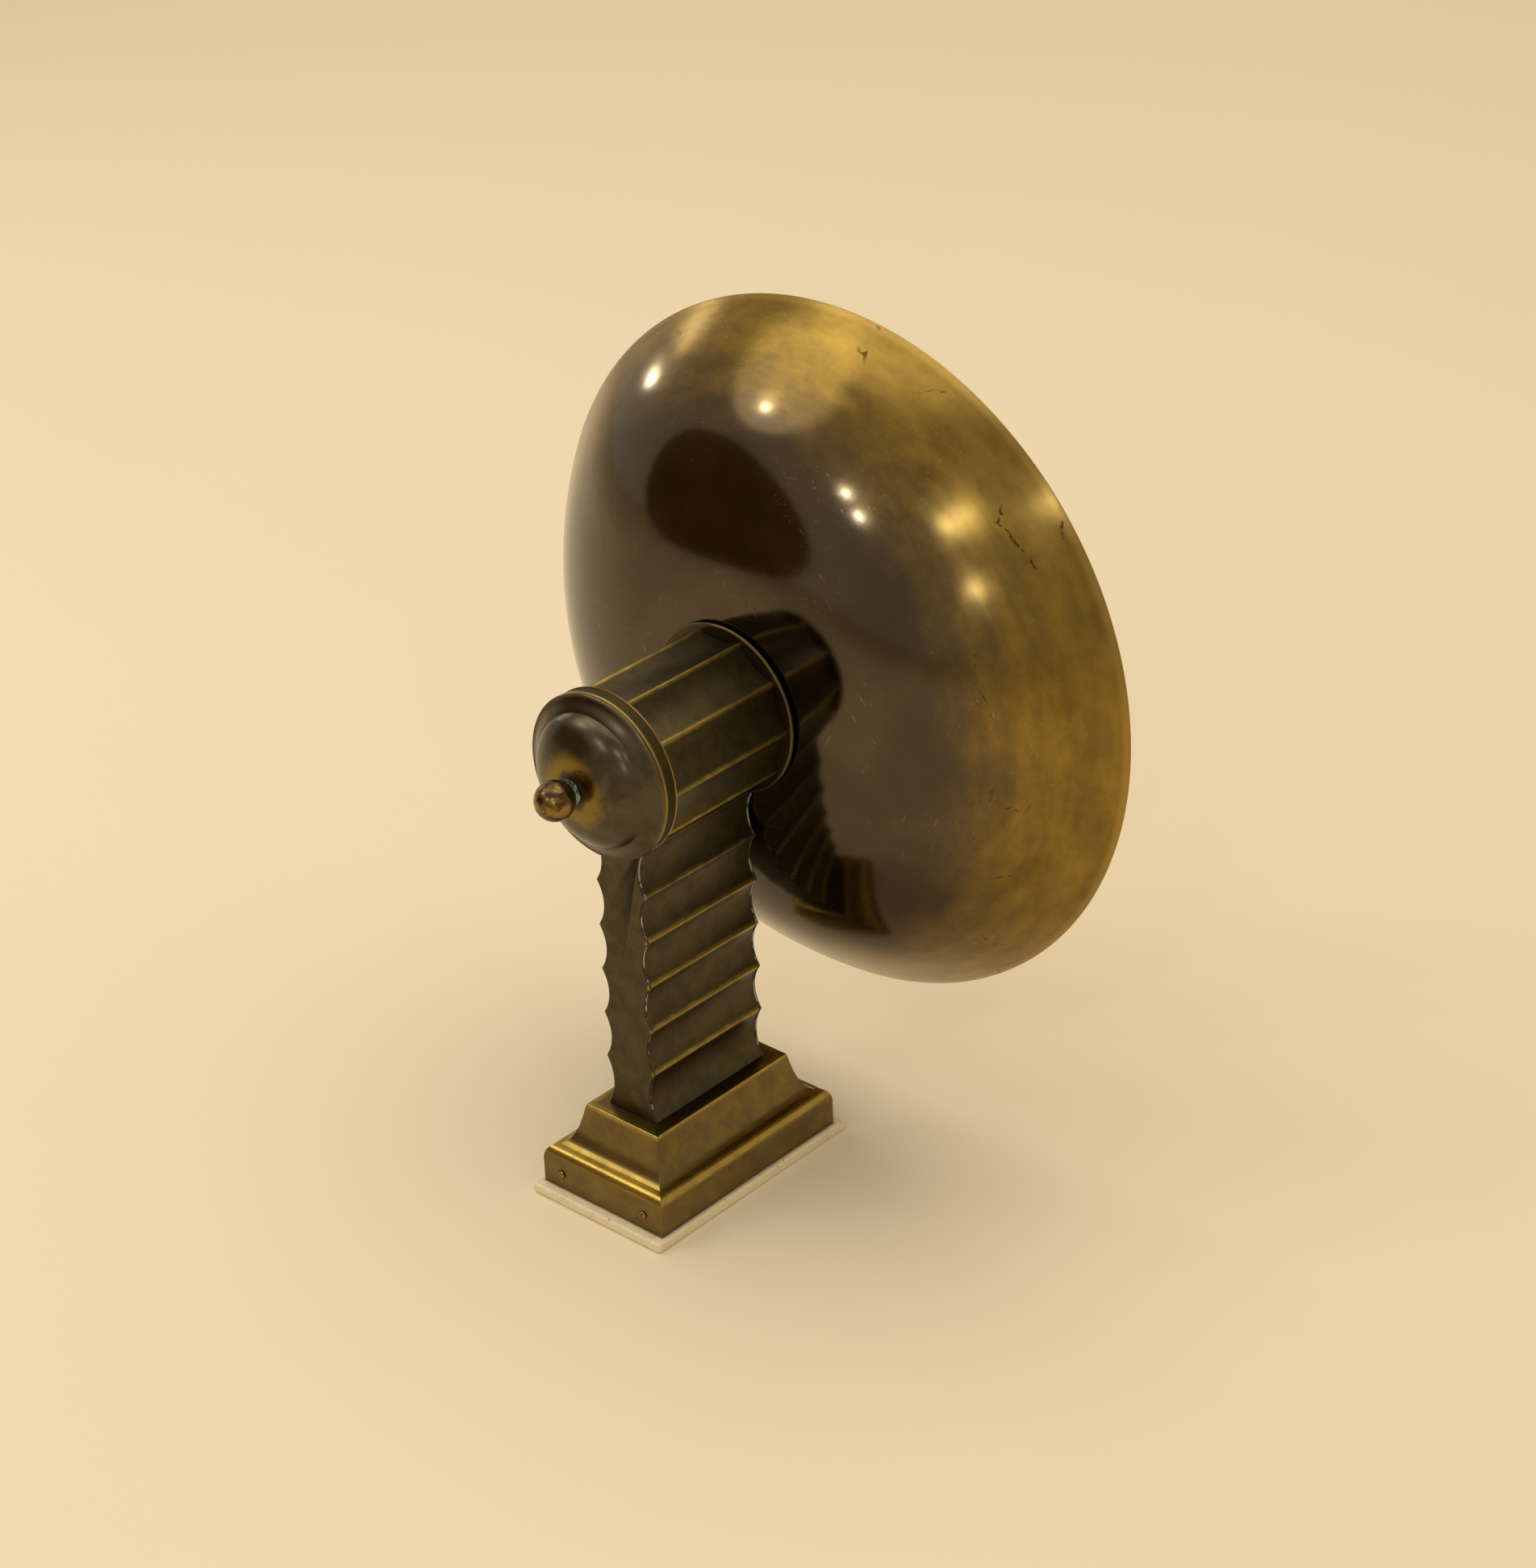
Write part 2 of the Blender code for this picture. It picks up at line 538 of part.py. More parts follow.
def build_plinth():
    """The moulded cover: its flat top, and its rim drawn out down the moulding."""
    mesh = bpy.data.meshes.new("plinth_cover")
    shape = bmesh.new()
    bmesh.ops.create_grid(shape, x_segments=1, y_segments=1, size=1.0)
    top, *stations = plinth_profile()
    place_rim(shape.verts, *top)
    rim = list(shape.edges)
    for inset, height in stations:
        drawn = bmesh.ops.extrude_edge_only(shape, edges=rim)["geom"]
        place_rim([item for item in drawn if isinstance(item, bmesh.types.BMVert)], inset, height)
        rim = [item for item in drawn if isinstance(item, bmesh.types.BMEdge)]
    bmesh.ops.recalc_face_normals(shape, faces=shape.faces)
    shape.to_mesh(mesh)
    shape.free()
    cover = mesh_piece("plinth_cover", mesh)
    wall = cover.modifiers.new("sheet", "SOLIDIFY")
    wall.thickness = SHEET
    wall.offset = -1
    wall.use_even_offset = True
    cut(cover, rod("plinth_tube_hole", TUBE_RADIUS + GAP, THROUGH, (0, 0, PLINTH_TOP)))
    for number, (x, end) in enumerate(cover_screw_places(), 1):
        place = (x, end * PLINTH_LENGTH / 2, COVER_SCREW_Z)
        cut(cover, rod(f"skirt_hole_{number}", COVER_SCREW_RADIUS + GAP, THROUGH, place, ALONG_Y,
                       sides=HOLE_SIDES))
        cut(cover, rod(f"skirt_recess_{number}", COVER_HEAD[0] + 2 * GAP, 2 * COVER_RECESS, place, ALONG_Y))
    finish(cover, BRIGHT_BRASS)


def build_cover_screws():
    """Slotted screws through the skirt into the bracket's ears."""
    for number, (x, end) in enumerate(cover_screw_places(), 1):
        seat = PLINTH_LENGTH / 2 - COVER_RECESS + GAP
        slotted_screw(f"cover_screw_{number}", COVER_HEAD, COVER_SCREW_RADIUS, COVER_SCREW_LENGTH,
                      (x, end * seat, COVER_SCREW_Z), (-end * pi / 2, 0, 0), BRIGHT_BRASS,
                      radians(COVER_SLOT_TURN * number))


# ----------------------------------------------------------------- the barrel
def barrel_line(ridge_radius, flute_depth):
    """A fluted round outline of (x, y) points, a ridge on +X."""
    chord = 2 * ridge_radius * sin(pi / BARREL_FLUTES)
    sag = ridge_radius * (1 - cos(pi / BARREL_FLUTES))
    points = []
    for number in range(BARREL_FLUTES):
        turn = Matrix.Rotation(2 * pi * (number + 0.5) / BARREL_FLUTES, 2)
        for along, inward in hollow(chord, flute_depth - sag, FLUTE_STEPS):
            place = turn @ Vector((ridge_radius - sag - inward, along - chord / 2))
            points.append(tuple(place))
    return points


def barrel_solid(name, radius, depth, low, high):
    """The fluted outline as a solid between two places along Y."""
    return outline(name, [barrel_line(radius, depth)], high - low,
                   (0, (low + high) / 2, AXIS_HEIGHT), ALONG_Y)


def build_barrel():
    """The fluted shell, the plain band round its rear end and the flange at its front."""
    outer = barrel_line(BARREL_RADIUS, BARREL_FLUTE_DEPTH)
    inner = barrel_line(BARREL_RADIUS - SHEET, BARREL_FLUTE_DEPTH)
    shell = outline("barrel_shell", [outer, inner[::-1]], BARREL_FRONT - BARREL_REAR,
                    (0, (BARREL_FRONT + BARREL_REAR) / 2, AXIS_HEIGHT), ALONG_Y)
    cut(shell, rod("barrel_tube_hole", TUBE_RADIUS + GAP, THROUGH, (0, 0, BARREL_FLOOR)))
    finish(shell, DARK_BRASS)

    front = BARREL_REAR - GAP
    lip = BARREL_RADIUS + BAND_LIP
    step = BAND_REAR + BAND_LIP_WIDTH
    band = [(BARREL_RADIUS, front), (BARREL_RADIUS, step), (lip, step - BAND_LIP / 2), (lip, BAND_REAR),
            (BAND_INSIDE, BAND_REAR), (BAND_INSIDE, front - PLATE), (BARREL_INSIDE, front - PLATE),
            (BARREL_INSIDE, front)]
    finish(turned("barrel_rear_band", band, (0, 0, AXIS_HEIGHT), ALONG_Y, steps=BARREL_STEPS), DARK_BRASS)

    bead = FLANGE_THICKNESS / 2
    edge = arc((FLANGE_RADIUS - bead, FLANGE_BACK + bead), (bead, bead), 90, -90, 5)
    plate = turned("flange_plate", edge + [(DISH_HOLE_RADIUS, FLANGE_BACK), (DISH_HOLE_RADIUS, FLANGE_FRONT)],
                   (0, 0, AXIS_HEIGHT), ALONG_Y, steps=BARREL_STEPS)
    for number, (x, z) in enumerate(clamp_screw_places(), 1):
        cut(plate, rod(f"flange_hole_{number}", CLAMP_SCREW_HOLE, THROUGH, (x, FLANGE_BACK, z),
                       ALONG_Y, sides=HOLE_SIDES))
    finish(plate, DARK_BRASS)


def clamp_screw_places():
    """(x, z) of the four screws that hold the dish to the flange."""
    return [(CLAMP_SCREW_CIRCLE * cos(pi / 2 * i), AXIS_HEIGHT + CLAMP_SCREW_CIRCLE * sin(pi / 2 * i))
            for i in range(4)]


# ----------------------------------------------------------------- the column
def flute_edge():
    """(inward, z) down one fluted side, from the foot up past the barrel's floor."""
    points = [(inward, COLUMN_FOOT + along)
              for along, inward in hollow(FOOT_FLUTE, FLUTE_DEPTH, FLUTE_STEPS)]
    ridge = COLUMN_FOOT + FOOT_FLUTE
    while ridge < AXIS_HEIGHT - VALLEY_RADIUS + FLUTE_PITCH:
        points += [(inward, ridge + along)
                   for along, inward in hollow(FLUTE_PITCH, FLUTE_DEPTH, FLUTE_STEPS)]
        ridge += FLUTE_PITCH
    points.append((0, ridge))
    return points


def cope(piece):
    """Cut a piece's top to the barrel and the flange that rest on it."""
    cut(piece, barrel_solid(piece.name + "_cope", BARREL_RADIUS + GAP, BARREL_FLUTE_DEPTH,
                            -COLUMN_DEPTH, COLUMN_DEPTH))
    start = FLANGE_BACK - GAP
    cut(piece, rod(piece.name + "_flange_cope", FLANGE_RADIUS + GAP, COLUMN_DEPTH,
                   (0, start + COLUMN_DEPTH / 2, AXIS_HEIGHT), ALONG_Y, BARREL_STEPS))


def build_column():
    """Two fluted sides between two plates with scalloped edges, coped to the barrel."""
    half = COLUMN_WIDTH / 2
    edge = flute_edge()
    depth = COLUMN_DEPTH - 2 * (SHEET + GAP)
    for name, side in (("column_panel_right", 1), ("column_panel_left", -1)):
        outside = [(side * (half - inward), z) for inward, z in edge]
        inside = [(side * (half - SHEET - inward), z) for inward, z in edge]
        panel = outline(name, [outside + inside[::-1]], depth, (0, 0, 0), (pi / 2, 0, 0))
        cope(panel)
        finish(panel, DARK_BRASS)
    face = [(half - inward, z) for inward, z in edge]
    face += [(inward - half, z) for inward, z in edge[::-1]]
    for name, end in (("column_plate_front", 1), ("column_plate_rear", -1)):
        plate = outline(name, [face], SHEET, (0, end * (COLUMN_DEPTH - SHEET) / 2, 0), (pi / 2, 0, 0))
        cope(plate)
        finish(plate, DARK_BRASS)


def build_centre_tube():
    """The threaded tube that clamps plinth, column and barrel together."""
    finish(ring("centre_tube", TUBE_BORE, TUBE_RADIUS, TUBE_BASE, TUBE_TOP, steps=20), STEEL)
    hole = TUBE_RADIUS + GAP
    plate = box("plinth_clamp_plate", (COLUMN_WIDTH, COLUMN_DEPTH - CLAMP_PLATE_SHORT, PLATE),
                (0, 0, (CLAMP_PLATE_TOP + CLAMP_PLATE_BASE) / 2))
    cut(plate, rod("clamp_plate_hole", hole, THROUGH, (0, 0, CLAMP_PLATE_BASE)))
    finish(plate, STEEL)
    nut_height = TUBE_NUT[1]
    hex_nut("tube_nut_lower", TUBE_NUT, hole, (0, 0, LOWER_NUT_Z + nut_height / 2))
    washer_radius, washer_thickness = TUBE_WASHER
    washer_z = BARREL_FLOOR + GAP
    finish(ring("tube_washer", hole, washer_radius, washer_z, washer_z + washer_thickness), STEEL)
    nut_z = washer_z + washer_thickness + GAP
    hex_nut("tube_nut_upper", TUBE_NUT, hole, (0, 0, nut_z + nut_height / 2))


# ---------------------------------------------------- inside the barrel, dish
def strap(name, section, width):
    """A bent strap: a section in the XY plane, as wide as it is along Z."""
    return outline(name, [section], width, (0, 0, AXIS_HEIGHT))


def build_bridge():
    """The bridge across the barrel, and the rod that holds cap and finial."""
    reach = BARREL_INSIDE + GAP
    front, rear = BRIDGE_Y + PLATE / 2, BRIDGE_Y - PLATE / 2
    ear = front + BRIDGE_EAR
    section = [(-reach, rear), (reach, rear), (reach, ear), (reach - PLATE, ear),
               (reach - PLATE, front), (PLATE - reach, front), (PLATE - reach, ear), (-reach, ear)]
    bridge = strap("barrel_bridge", section, BRIDGE_WIDTH)
    cut(bridge, rod("bridge_hole", ROD_RADIUS + GAP, THROUGH, (0, BRIDGE_Y, AXIS_HEIGHT), ALONG_Y))
    finish(bridge, PLAIN_BRASS)
    half_nut = ROD_NUT[1] / 2
    nut_front, nut_rear = front + GAP + half_nut, rear - GAP - half_nut
    rod_front = nut_front + half_nut + ROD_TAIL
    rod_rear = BALL_Y + ROD_END
    finish(rod("tie_rod", ROD_RADIUS, rod_front - rod_rear,
               (0, (rod_front + rod_rear) / 2, AXIS_HEIGHT), ALONG_Y), STEEL)
    for name, place in (("rod_nut_front", nut_front), ("rod_nut_rear", nut_rear)):
        hex_nut(name, ROD_NUT, ROD_RADIUS + GAP, (0, place, AXIS_HEIGHT), ALONG_Y)


def dish_line(count):
    """(radius, y) of the dish's back, from its rim to its centre hole."""
    points = []
    for i in range(count + 1):
        radius = DISH_RADIUS + (DISH_HOLE_RADIUS - DISH_RADIUS) * i / count
        points.append((radius, DISH_BACK + DISH_DEPTH * (radius / DISH_RADIUS) ** DISH_CURVE))
    return points


def build_dish():
    """The spun dish, the ring that clamps it, and the four screws and nuts."""
    dish = turned("dish", dish_line(9), (0, 0, AXIS_HEIGHT), ALONG_Y, steps=DISH_STEPS, closed=False,
                  wall=SHEET)
    clamp = ring("dish_clamp_ring", DISH_HOLE_RADIUS, CLAMP_RADIUS, CLAMP_BACK, CLAMP_FRONT,
                 (0, 0, AXIS_HEIGHT), ALONG_Y)
    seat = CLAMP_FRONT + GAP
    nut_height = CLAMP_NUT[1]
    tail = FLANGE_BACK - PLATE - 3 * GAP - nut_height - CLAMP_SCREW_TAIL
    for number, (x, z) in enumerate(clamp_screw_places(), 1):
        for piece, tag in ((dish, "dish"), (clamp, "clamp")):
            cut(piece, rod(f"{tag}_hole_{number}", CLAMP_SCREW_HOLE, THROUGH, (x, CLAMP_BACK, z),
                           ALONG_Y, sides=HOLE_SIDES))
        slotted_screw(f"dish_screw_{number}", SCREW_HEAD, CLAMP_SCREW_RADIUS, seat - tail, (x, seat, z),
                      ALONG_Y, PLAIN_BRASS)
        # the odd ones also hold the lampholder's bracket, whose foot is under the nut
        foot = PLATE + GAP if number % 2 else 0
        hex_nut(f"dish_nut_{number}", CLAMP_NUT, CLAMP_SCREW_HOLE,
                (x, FLANGE_BACK - foot - GAP - nut_height / 2, z), ALONG_Y)
    finish(dish, DISH_BRASS)
    finish(clamp, PLAIN_BRASS)


def build_lampholder():
    """The bent bracket behind the flange, and the porcelain holder on its nipple."""
    inside = HOLDER_RADIUS + BRACKET_PLAY
    outside = inside + PLATE
    foot_front = FLANGE_BACK - GAP
    foot_back = foot_front - PLATE
    toe = CLAMP_SCREW_CIRCLE + BRACKET_TOE
    half = [(outside, WEB_REAR), (outside, foot_back), (toe, foot_back), (toe, foot_front),
            (inside, foot_front), (inside, WEB_FRONT)]
    section = half + [(-x, y) for x, y in half[::-1]]
    bracket = strap("lampholder_bracket", section, STRAP_WIDTH)
    cut(bracket, rod("web_hole", TUBE_RADIUS + GAP, THROUGH, (0, WEB_REAR, AXIS_HEIGHT), ALONG_Y))
    for number, (x, z) in enumerate(clamp_screw_places()[::2], 1):
        cut(bracket, rod(f"foot_hole_{number}", CLAMP_SCREW_HOLE, THROUGH, (x, foot_back, z),
                         ALONG_Y, sides=HOLE_SIDES))
    finish(bracket, STEEL)

    nut_height = NIPPLE_NUT[1]
    nut_front = WEB_REAR - GAP
    socket = HOLDER_REAR + HOLDER_SOCKET
    axis = (0, 0, AXIS_HEIGHT)
    finish(ring("lampholder_nipple", TUBE_BORE, TUBE_RADIUS, nut_front - nut_height - NIPPLE_TAIL,
                socket - GAP, axis, ALONG_Y), STEEL)
    hex_nut("nipple_nut", NIPPLE_NUT, TUBE_RADIUS + GAP,
            (0, nut_front - nut_height / 2, AXIS_HEIGHT), ALONG_Y)

    floor = HOLDER_REAR + HOLDER_FLOOR
    bore = HOLDER_SHELL + GAP
    waist = 0.4 * bore
    body = [(HOLDER_RADIUS - HOLDER_MOUTH, HOLDER_FRONT), (HOLDER_RADIUS, HOLDER_FRONT - 1.5 * HOLDER_MOUTH),
            (HOLDER_RADIUS, floor), (0.95 * HOLDER_RADIUS, HOLDER_REAR), (TUBE_RADIUS + GAP, HOLDER_REAR),
            (TUBE_RADIUS + GAP, socket), (waist, socket), (waist, floor), (bore, floor),
            (bore, HOLDER_FRONT - HOLDER_MOUTH / 2), (bore + HOLDER_MOUTH / 2, HOLDER_FRONT)]
    finish(turned("lampholder_body", body, axis, ALONG_Y, steps=28), PORCELAIN)
    finish(ring("lampholder_shell", HOLDER_SHELL - HOLDER_SHELL_WALL, HOLDER_SHELL, floor + SHELL_INSET,
                HOLDER_FRONT - SHELL_INSET, axis, ALONG_Y, steps=28), PLAIN_BRASS)

    strip = CONTACT_STRIP
    tip, foot = BULB_TIP - GAP, floor + GAP
    left, right, end = -0.5 * bore, 0.7 * bore, 0.25 * bore
    section = [(left, foot), (right, foot), (right, foot + strip), (left + strip, foot + strip),
               (left + strip, tip - strip), (end, tip - strip), (end, tip), (left, tip)]
    finish(strap("centre_contact", section, CONTACT_WIDTH), PLAIN_BRASS)

    aside, down = HOLDER_TERMINAL
    back = HOLDER_REAR - GAP
    for name, side in (("holder_terminal_left", -1), ("holder_terminal_right", 1)):
        x, z = side * aside, AXIS_HEIGHT - down
        block = box(name, TERMINAL_SIZE, (x, back - TERMINAL_SIZE[1] / 2, z))
        cut(block, rod(name + "_bore", WIRE_RADIUS + 2 * GAP, TERMINAL_SIZE[1],
                       (x, back - TERMINAL_SIZE[1], z), ALONG_Y, sides=HOLE_SIDES))
        finish(block, PLAIN_BRASS)


def build_wires():
    """Two cores from the terminal block up the tube to the lampholder."""
    start_z = BRACKET_TOP + GAP + TERMINAL_HEIGHT
    block_front = BLOCK_Y + BLOCK_SIZE[1] / 2
    aside, down = HOLDER_TERMINAL
    end_y = HOLDER_REAR - GAP - 0.8 * TERMINAL_SIZE[1]
    end_z = AXIS_HEIGHT - down
    bend = 4 * WIRE_RADIUS       # the straight run that each core keeps at its two ends
    for name, side, colour in (("wire_live", 1, WIRE_BROWN), ("wire_neutral", -1, WIRE_BLUE)):
        x = side * (TUBE_BORE - WIRE_RADIUS - 3 * GAP)
        route = [(side * TERMINAL_X, block_front - bend, start_z),
                 (side * TERMINAL_X, block_front + bend, start_z),
                 (side * 0.8 * TERMINAL_X, block_front + 3 * bend, start_z + 1.3 * bend),
                 (x, -0.2 * bend, TUBE_BASE - 1.8 * bend), (x, 0, TUBE_BASE + bend),
                 (x, 0, TUBE_TOP - 0.5 * bend),
                 (1.3 * x, -0.6 * bend, TUBE_TOP + bend),
                 (side * 0.7 * aside, -3.2 * bend, end_z - 1.6 * bend),
                 (side * aside, end_y - 2.2 * bend, end_z), (side * aside, end_y - bend, end_z),
                 (side * aside, end_y, end_z)]
        wire(name, route, WIRE_RADIUS, WIRE_SPACING, colour)


# ---------------------------------------------------------------- moving parts
def build_cap():
    """The domed cap with its rim and cove, and the collar under the finial."""
    rim = BARREL_RADIUS + BAND_LIP
    spigot = BAND_INSIDE - GAP
    hole = ROD_RADIUS + GAP
    seat, rim_y = CAP_SEAT, CAP_SEAT - CAP_RIM
    cove_y = rim_y - 0.6 * CAP_COVE
    cove = bezier((rim - 0.6 * CAP_RIM, rim_y), (rim - 2 * CAP_RIM, rim_y - 0.25 * CAP_RIM),
                  (CAP_DOME_RADIUS + 1.25 * CAP_RIM, cove_y + 0.5 * CAP_RIM), (CAP_DOME_RADIUS, cove_y), 4)
    dome = bezier((CAP_DOME_RADIUS, cove_y), (0.92 * CAP_DOME_RADIUS, cove_y - 0.4 * CAP_RISE),
                  (0.54 * CAP_DOME_RADIUS, CAP_TOP + GAP), (COLLAR_RADIUS, CAP_TOP), 6)
    outer = [(rim, seat), (rim, rim_y + 0.3 * CAP_RIM)] + cove + dome[1:] + [(hole, CAP_TOP)]
    inner = [(hole, CAP_TOP + SHEET)]
    inner += [(radius - SHEET / 2, y + SHEET) for radius, y in dome[::-2]]
    inner += [(spigot - SHEET, seat + SHEET), (spigot - SHEET, seat + CAP_SPIGOT),
              (spigot, seat + CAP_SPIGOT), (spigot, seat)]
    finish(turned("rear_cap", outer + inner, (0, 0, AXIS_HEIGHT), ALONG_Y, steps=BARREL_STEPS), DARK_BRASS)
    front = CAP_TOP - GAP
    collar = [(0.85 * COLLAR_RADIUS, front), (COLLAR_RADIUS, front - 0.25 * COLLAR_THICKNESS),
              (0.8 * COLLAR_RADIUS, COLLAR_REAR), (hole, COLLAR_REAR), (hole, front)]
    finish(turned("cap_collar", collar, (0, 0, AXIS_HEIGHT), ALONG_Y), DARK_BRASS)


def build_finial():
    """The ball, threaded on the tie rod's end."""
    ball = arc((0, 0), (BALL_RADIUS, BALL_RADIUS), degrees(acos(NECK_RADIUS / BALL_RADIUS)), -90, 10)
    ball[-1] = (0, -BALL_RADIUS)
    bore = ROD_RADIUS + GAP
    floor = ROD_END - GAP
    profile = [(0, floor), (bore, floor), (bore, ball[0][1])] + ball
    finish(turned("finial", profile, (0, BALL_Y, AXIS_HEIGHT), ALONG_Y, closed=False), DARK_BRASS)


def build_bulb():
    """A pearl bulb: glass, screw cap, insulator, contact, stem and filament."""
    axis = (0, 0, AXIS_HEIGHT)
    cap_front = BULB_TIP + BULB_CAP_LENGTH
    front = BULB_TIP + BULB_LENGTH
    centre = front - BULB_RADIUS
    neck = BULB_SCREW - BULB_CAP_WALL - BULB_GLASS_WALL
    globe = arc((0, centre), (BULB_RADIUS, BULB_RADIUS), 90, -30, 8)
    globe[0] = (0, front)
    taper = bezier(globe[-1], (0.66 * BULB_RADIUS, centre - 0.87 * BULB_RADIUS),
                   (1.08 * neck, cap_front + neck), (neck, cap_front), 4)
    line = globe + taper[1:] + [(neck, cap_front - BULB_TUCK)]
    finish(turned("bulb_glass", line, axis, ALONG_Y, steps=28, closed=False, wall=BULB_GLASS_WALL),
           PEARL_GLASS)

    shoulder = 0.7 * BULB_SCREW
    slope = BULB_SCREW - shoulder
    rear = BULB_TIP + BULB_NOSE
    step = rear + 0.8 * slope
    wall = BULB_CAP_WALL
    cap = [(BULB_SCREW, cap_front), (BULB_SCREW, step), (shoulder, rear), (shoulder - wall, rear + wall),
           (BULB_SCREW - wall, step + wall), (BULB_SCREW - wall, cap_front)]
    finish(turned("bulb_cap", cap, axis, ALONG_Y, steps=28), PLAIN_BRASS)

    disc = shoulder - wall - GAP
    nose = BULB_TIP + 0.4 * BULB_NOSE
    insulator = [(0, rear + 2 * wall), (disc, rear + 2 * wall), (disc, rear - wall), (0.6 * disc, nose),
                 (0, nose)]
    finish(turned("bulb_insulator", insulator, axis, ALONG_Y, closed=False), BLACK_GLASS)
    tip = [(0, nose - GAP), (0.5 * disc, nose - GAP), (0.4 * disc, BULB_TIP + GAP), (0, BULB_TIP)]
    finish(turned("bulb_contact", tip, axis, ALONG_Y, closed=False), STEEL)

    stem_front = centre - 0.2 * BULB_RADIUS
    stem_foot = step + 2 * wall
    thin, thick = 0.2 * neck, 0.5 * neck
    stem = [(0, stem_front), (0.8 * thin, stem_front - thin / 2), (thin, cap_front + neck),
            (thick, cap_front), (thick, stem_foot), (0, stem_foot)]
    finish(turned("bulb_stem", stem, axis, ALONG_Y, steps=20, closed=False), PEARL_GLASS)
    lift = 8 * FILAMENT_RADIUS   # between the filament's ring and the stem's end
    turns = [radians(30 + 30 * i) for i in range(11)]
    route = [(FILAMENT_SPREAD * sin(turn), stem_front + lift * (1 + 0.8 * abs(cos(turn))),
              AXIS_HEIGHT - FILAMENT_SPREAD * cos(turn)) for turn in turns]
    wire("bulb_filament", route, FILAMENT_RADIUS, FILAMENT_SPREAD / 2, TUNGSTEN)


build_board()
build_bracket()
build_bush()
build_terminal_block()
build_plinth()
build_cover_screws()
build_barrel()
build_column()
build_centre_tube()
build_bridge()
build_dish()
build_lampholder()
build_wires()
build_cap()
build_finial()
build_bulb()
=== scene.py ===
# %% [markdown]
# # A fluted brass wall uplighter
#
# The lamp screws to a wall by its painted board. A moulded brass plinth covers the board,
# a fluted column stands on the plinth, and a fluted barrel across the column's top holds a
# wide spun dish at one end and a domed cap with a ball finial at the other. The lamp is
# drawn lying on its board, so the wall is the floor here and the dish opens along +Y.
#
# The engineering model gives every solid its place. The lesson keeps the solids that are
# hidden inside, with better finishes, and models each visible piece again with more care.

# %% Load the frame
import json
from math import asin, atan2, cos, degrees, hypot, pi, radians, sin

import bmesh
import bpy
from mathutils import Matrix, Vector


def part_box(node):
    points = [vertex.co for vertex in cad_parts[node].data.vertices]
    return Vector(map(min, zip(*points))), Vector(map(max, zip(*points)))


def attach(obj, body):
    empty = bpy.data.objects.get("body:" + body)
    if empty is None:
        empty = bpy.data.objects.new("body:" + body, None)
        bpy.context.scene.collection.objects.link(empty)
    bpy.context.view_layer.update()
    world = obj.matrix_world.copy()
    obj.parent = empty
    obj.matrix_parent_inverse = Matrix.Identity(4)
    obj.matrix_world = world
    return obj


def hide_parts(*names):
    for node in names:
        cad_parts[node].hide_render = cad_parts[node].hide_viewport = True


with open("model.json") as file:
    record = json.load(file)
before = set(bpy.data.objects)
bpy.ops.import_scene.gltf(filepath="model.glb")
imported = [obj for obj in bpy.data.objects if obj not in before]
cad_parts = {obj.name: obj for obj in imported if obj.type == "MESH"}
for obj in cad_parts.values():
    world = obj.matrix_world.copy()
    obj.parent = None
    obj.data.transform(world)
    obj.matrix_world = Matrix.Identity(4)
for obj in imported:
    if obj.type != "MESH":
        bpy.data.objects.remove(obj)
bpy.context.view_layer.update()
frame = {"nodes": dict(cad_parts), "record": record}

# %% Main sizes, read from the frame
band_low, band_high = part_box("barrel_rear_band")
AXIS = (band_low.z + band_high.z) / 2
dish_low, dish_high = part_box("dish")
DISH_RADIUS = (dish_high.x - dish_low.x) / 2
DISH_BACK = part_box("flange_plate")[1].y + 0.0003
print("barrel axis", round(AXIS, 4), "dish radius", round(DISH_RADIUS, 4), "dish back", round(DISH_BACK, 4))

# %% Sizes shared by several pieces, in metres
SHEET, GAP = 0.0012, 0.0003
BOARD = (0.098, 0.160, 0.0063)
PLINTH_WIDTH, PLINTH_LENGTH, PLINTH_HEIGHT = 0.091, 0.147, 0.050
COLUMN_WIDTH, COLUMN_DEPTH = 0.036, 0.091
BARREL_RADIUS, BARREL_FLUTE, BARREL_FLUTES = 0.0475, 0.0053, 10
TUBE_HOLE = 0.0053
print("column", COLUMN_WIDTH, "by", COLUMN_DEPTH, "barrel radius", BARREL_RADIUS)

# %% [markdown]
# ## The camera
#
# The lamp is seen from behind and above, from far enough away that its edges stay nearly
# parallel. A camera looks along its own -Z with +Y up, so its turn is a matrix whose columns
# are its right, its up and its back. A small roll tips the view, as a hand-held camera does.

# %% Place the camera
CAMERA_PLACE = Vector((1.233572, -1.286837, 1.223886))
CAMERA_AZIMUTH, CAMERA_ELEVATION, CAMERA_ROLL = radians(42.129), radians(28.760), radians(-1.915)
back = Vector((sin(CAMERA_AZIMUTH) * cos(CAMERA_ELEVATION),
               -cos(CAMERA_AZIMUTH) * cos(CAMERA_ELEVATION), sin(CAMERA_ELEVATION)))
level = Vector((cos(CAMERA_AZIMUTH), sin(CAMERA_AZIMUTH), 0))
above = back.cross(level)
right = level * cos(CAMERA_ROLL) + above * sin(CAMERA_ROLL)
up = above * cos(CAMERA_ROLL) - level * sin(CAMERA_ROLL)
camera_data = bpy.data.cameras.new("camera")
camera_data.sensor_width = 36
camera_data.lens = 85.43
camera_data.clip_end = 20
camera = bpy.data.objects.new("camera", camera_data)
bpy.context.scene.collection.objects.link(camera)
camera.matrix_world = Matrix.Translation(CAMERA_PLACE) @ Matrix((right, up, back)).transposed().to_4x4()
bpy.context.scene.camera = camera
bpy.context.scene.view_settings.view_transform = "Standard"
print("camera", [round(c, 3) for c in camera.location])

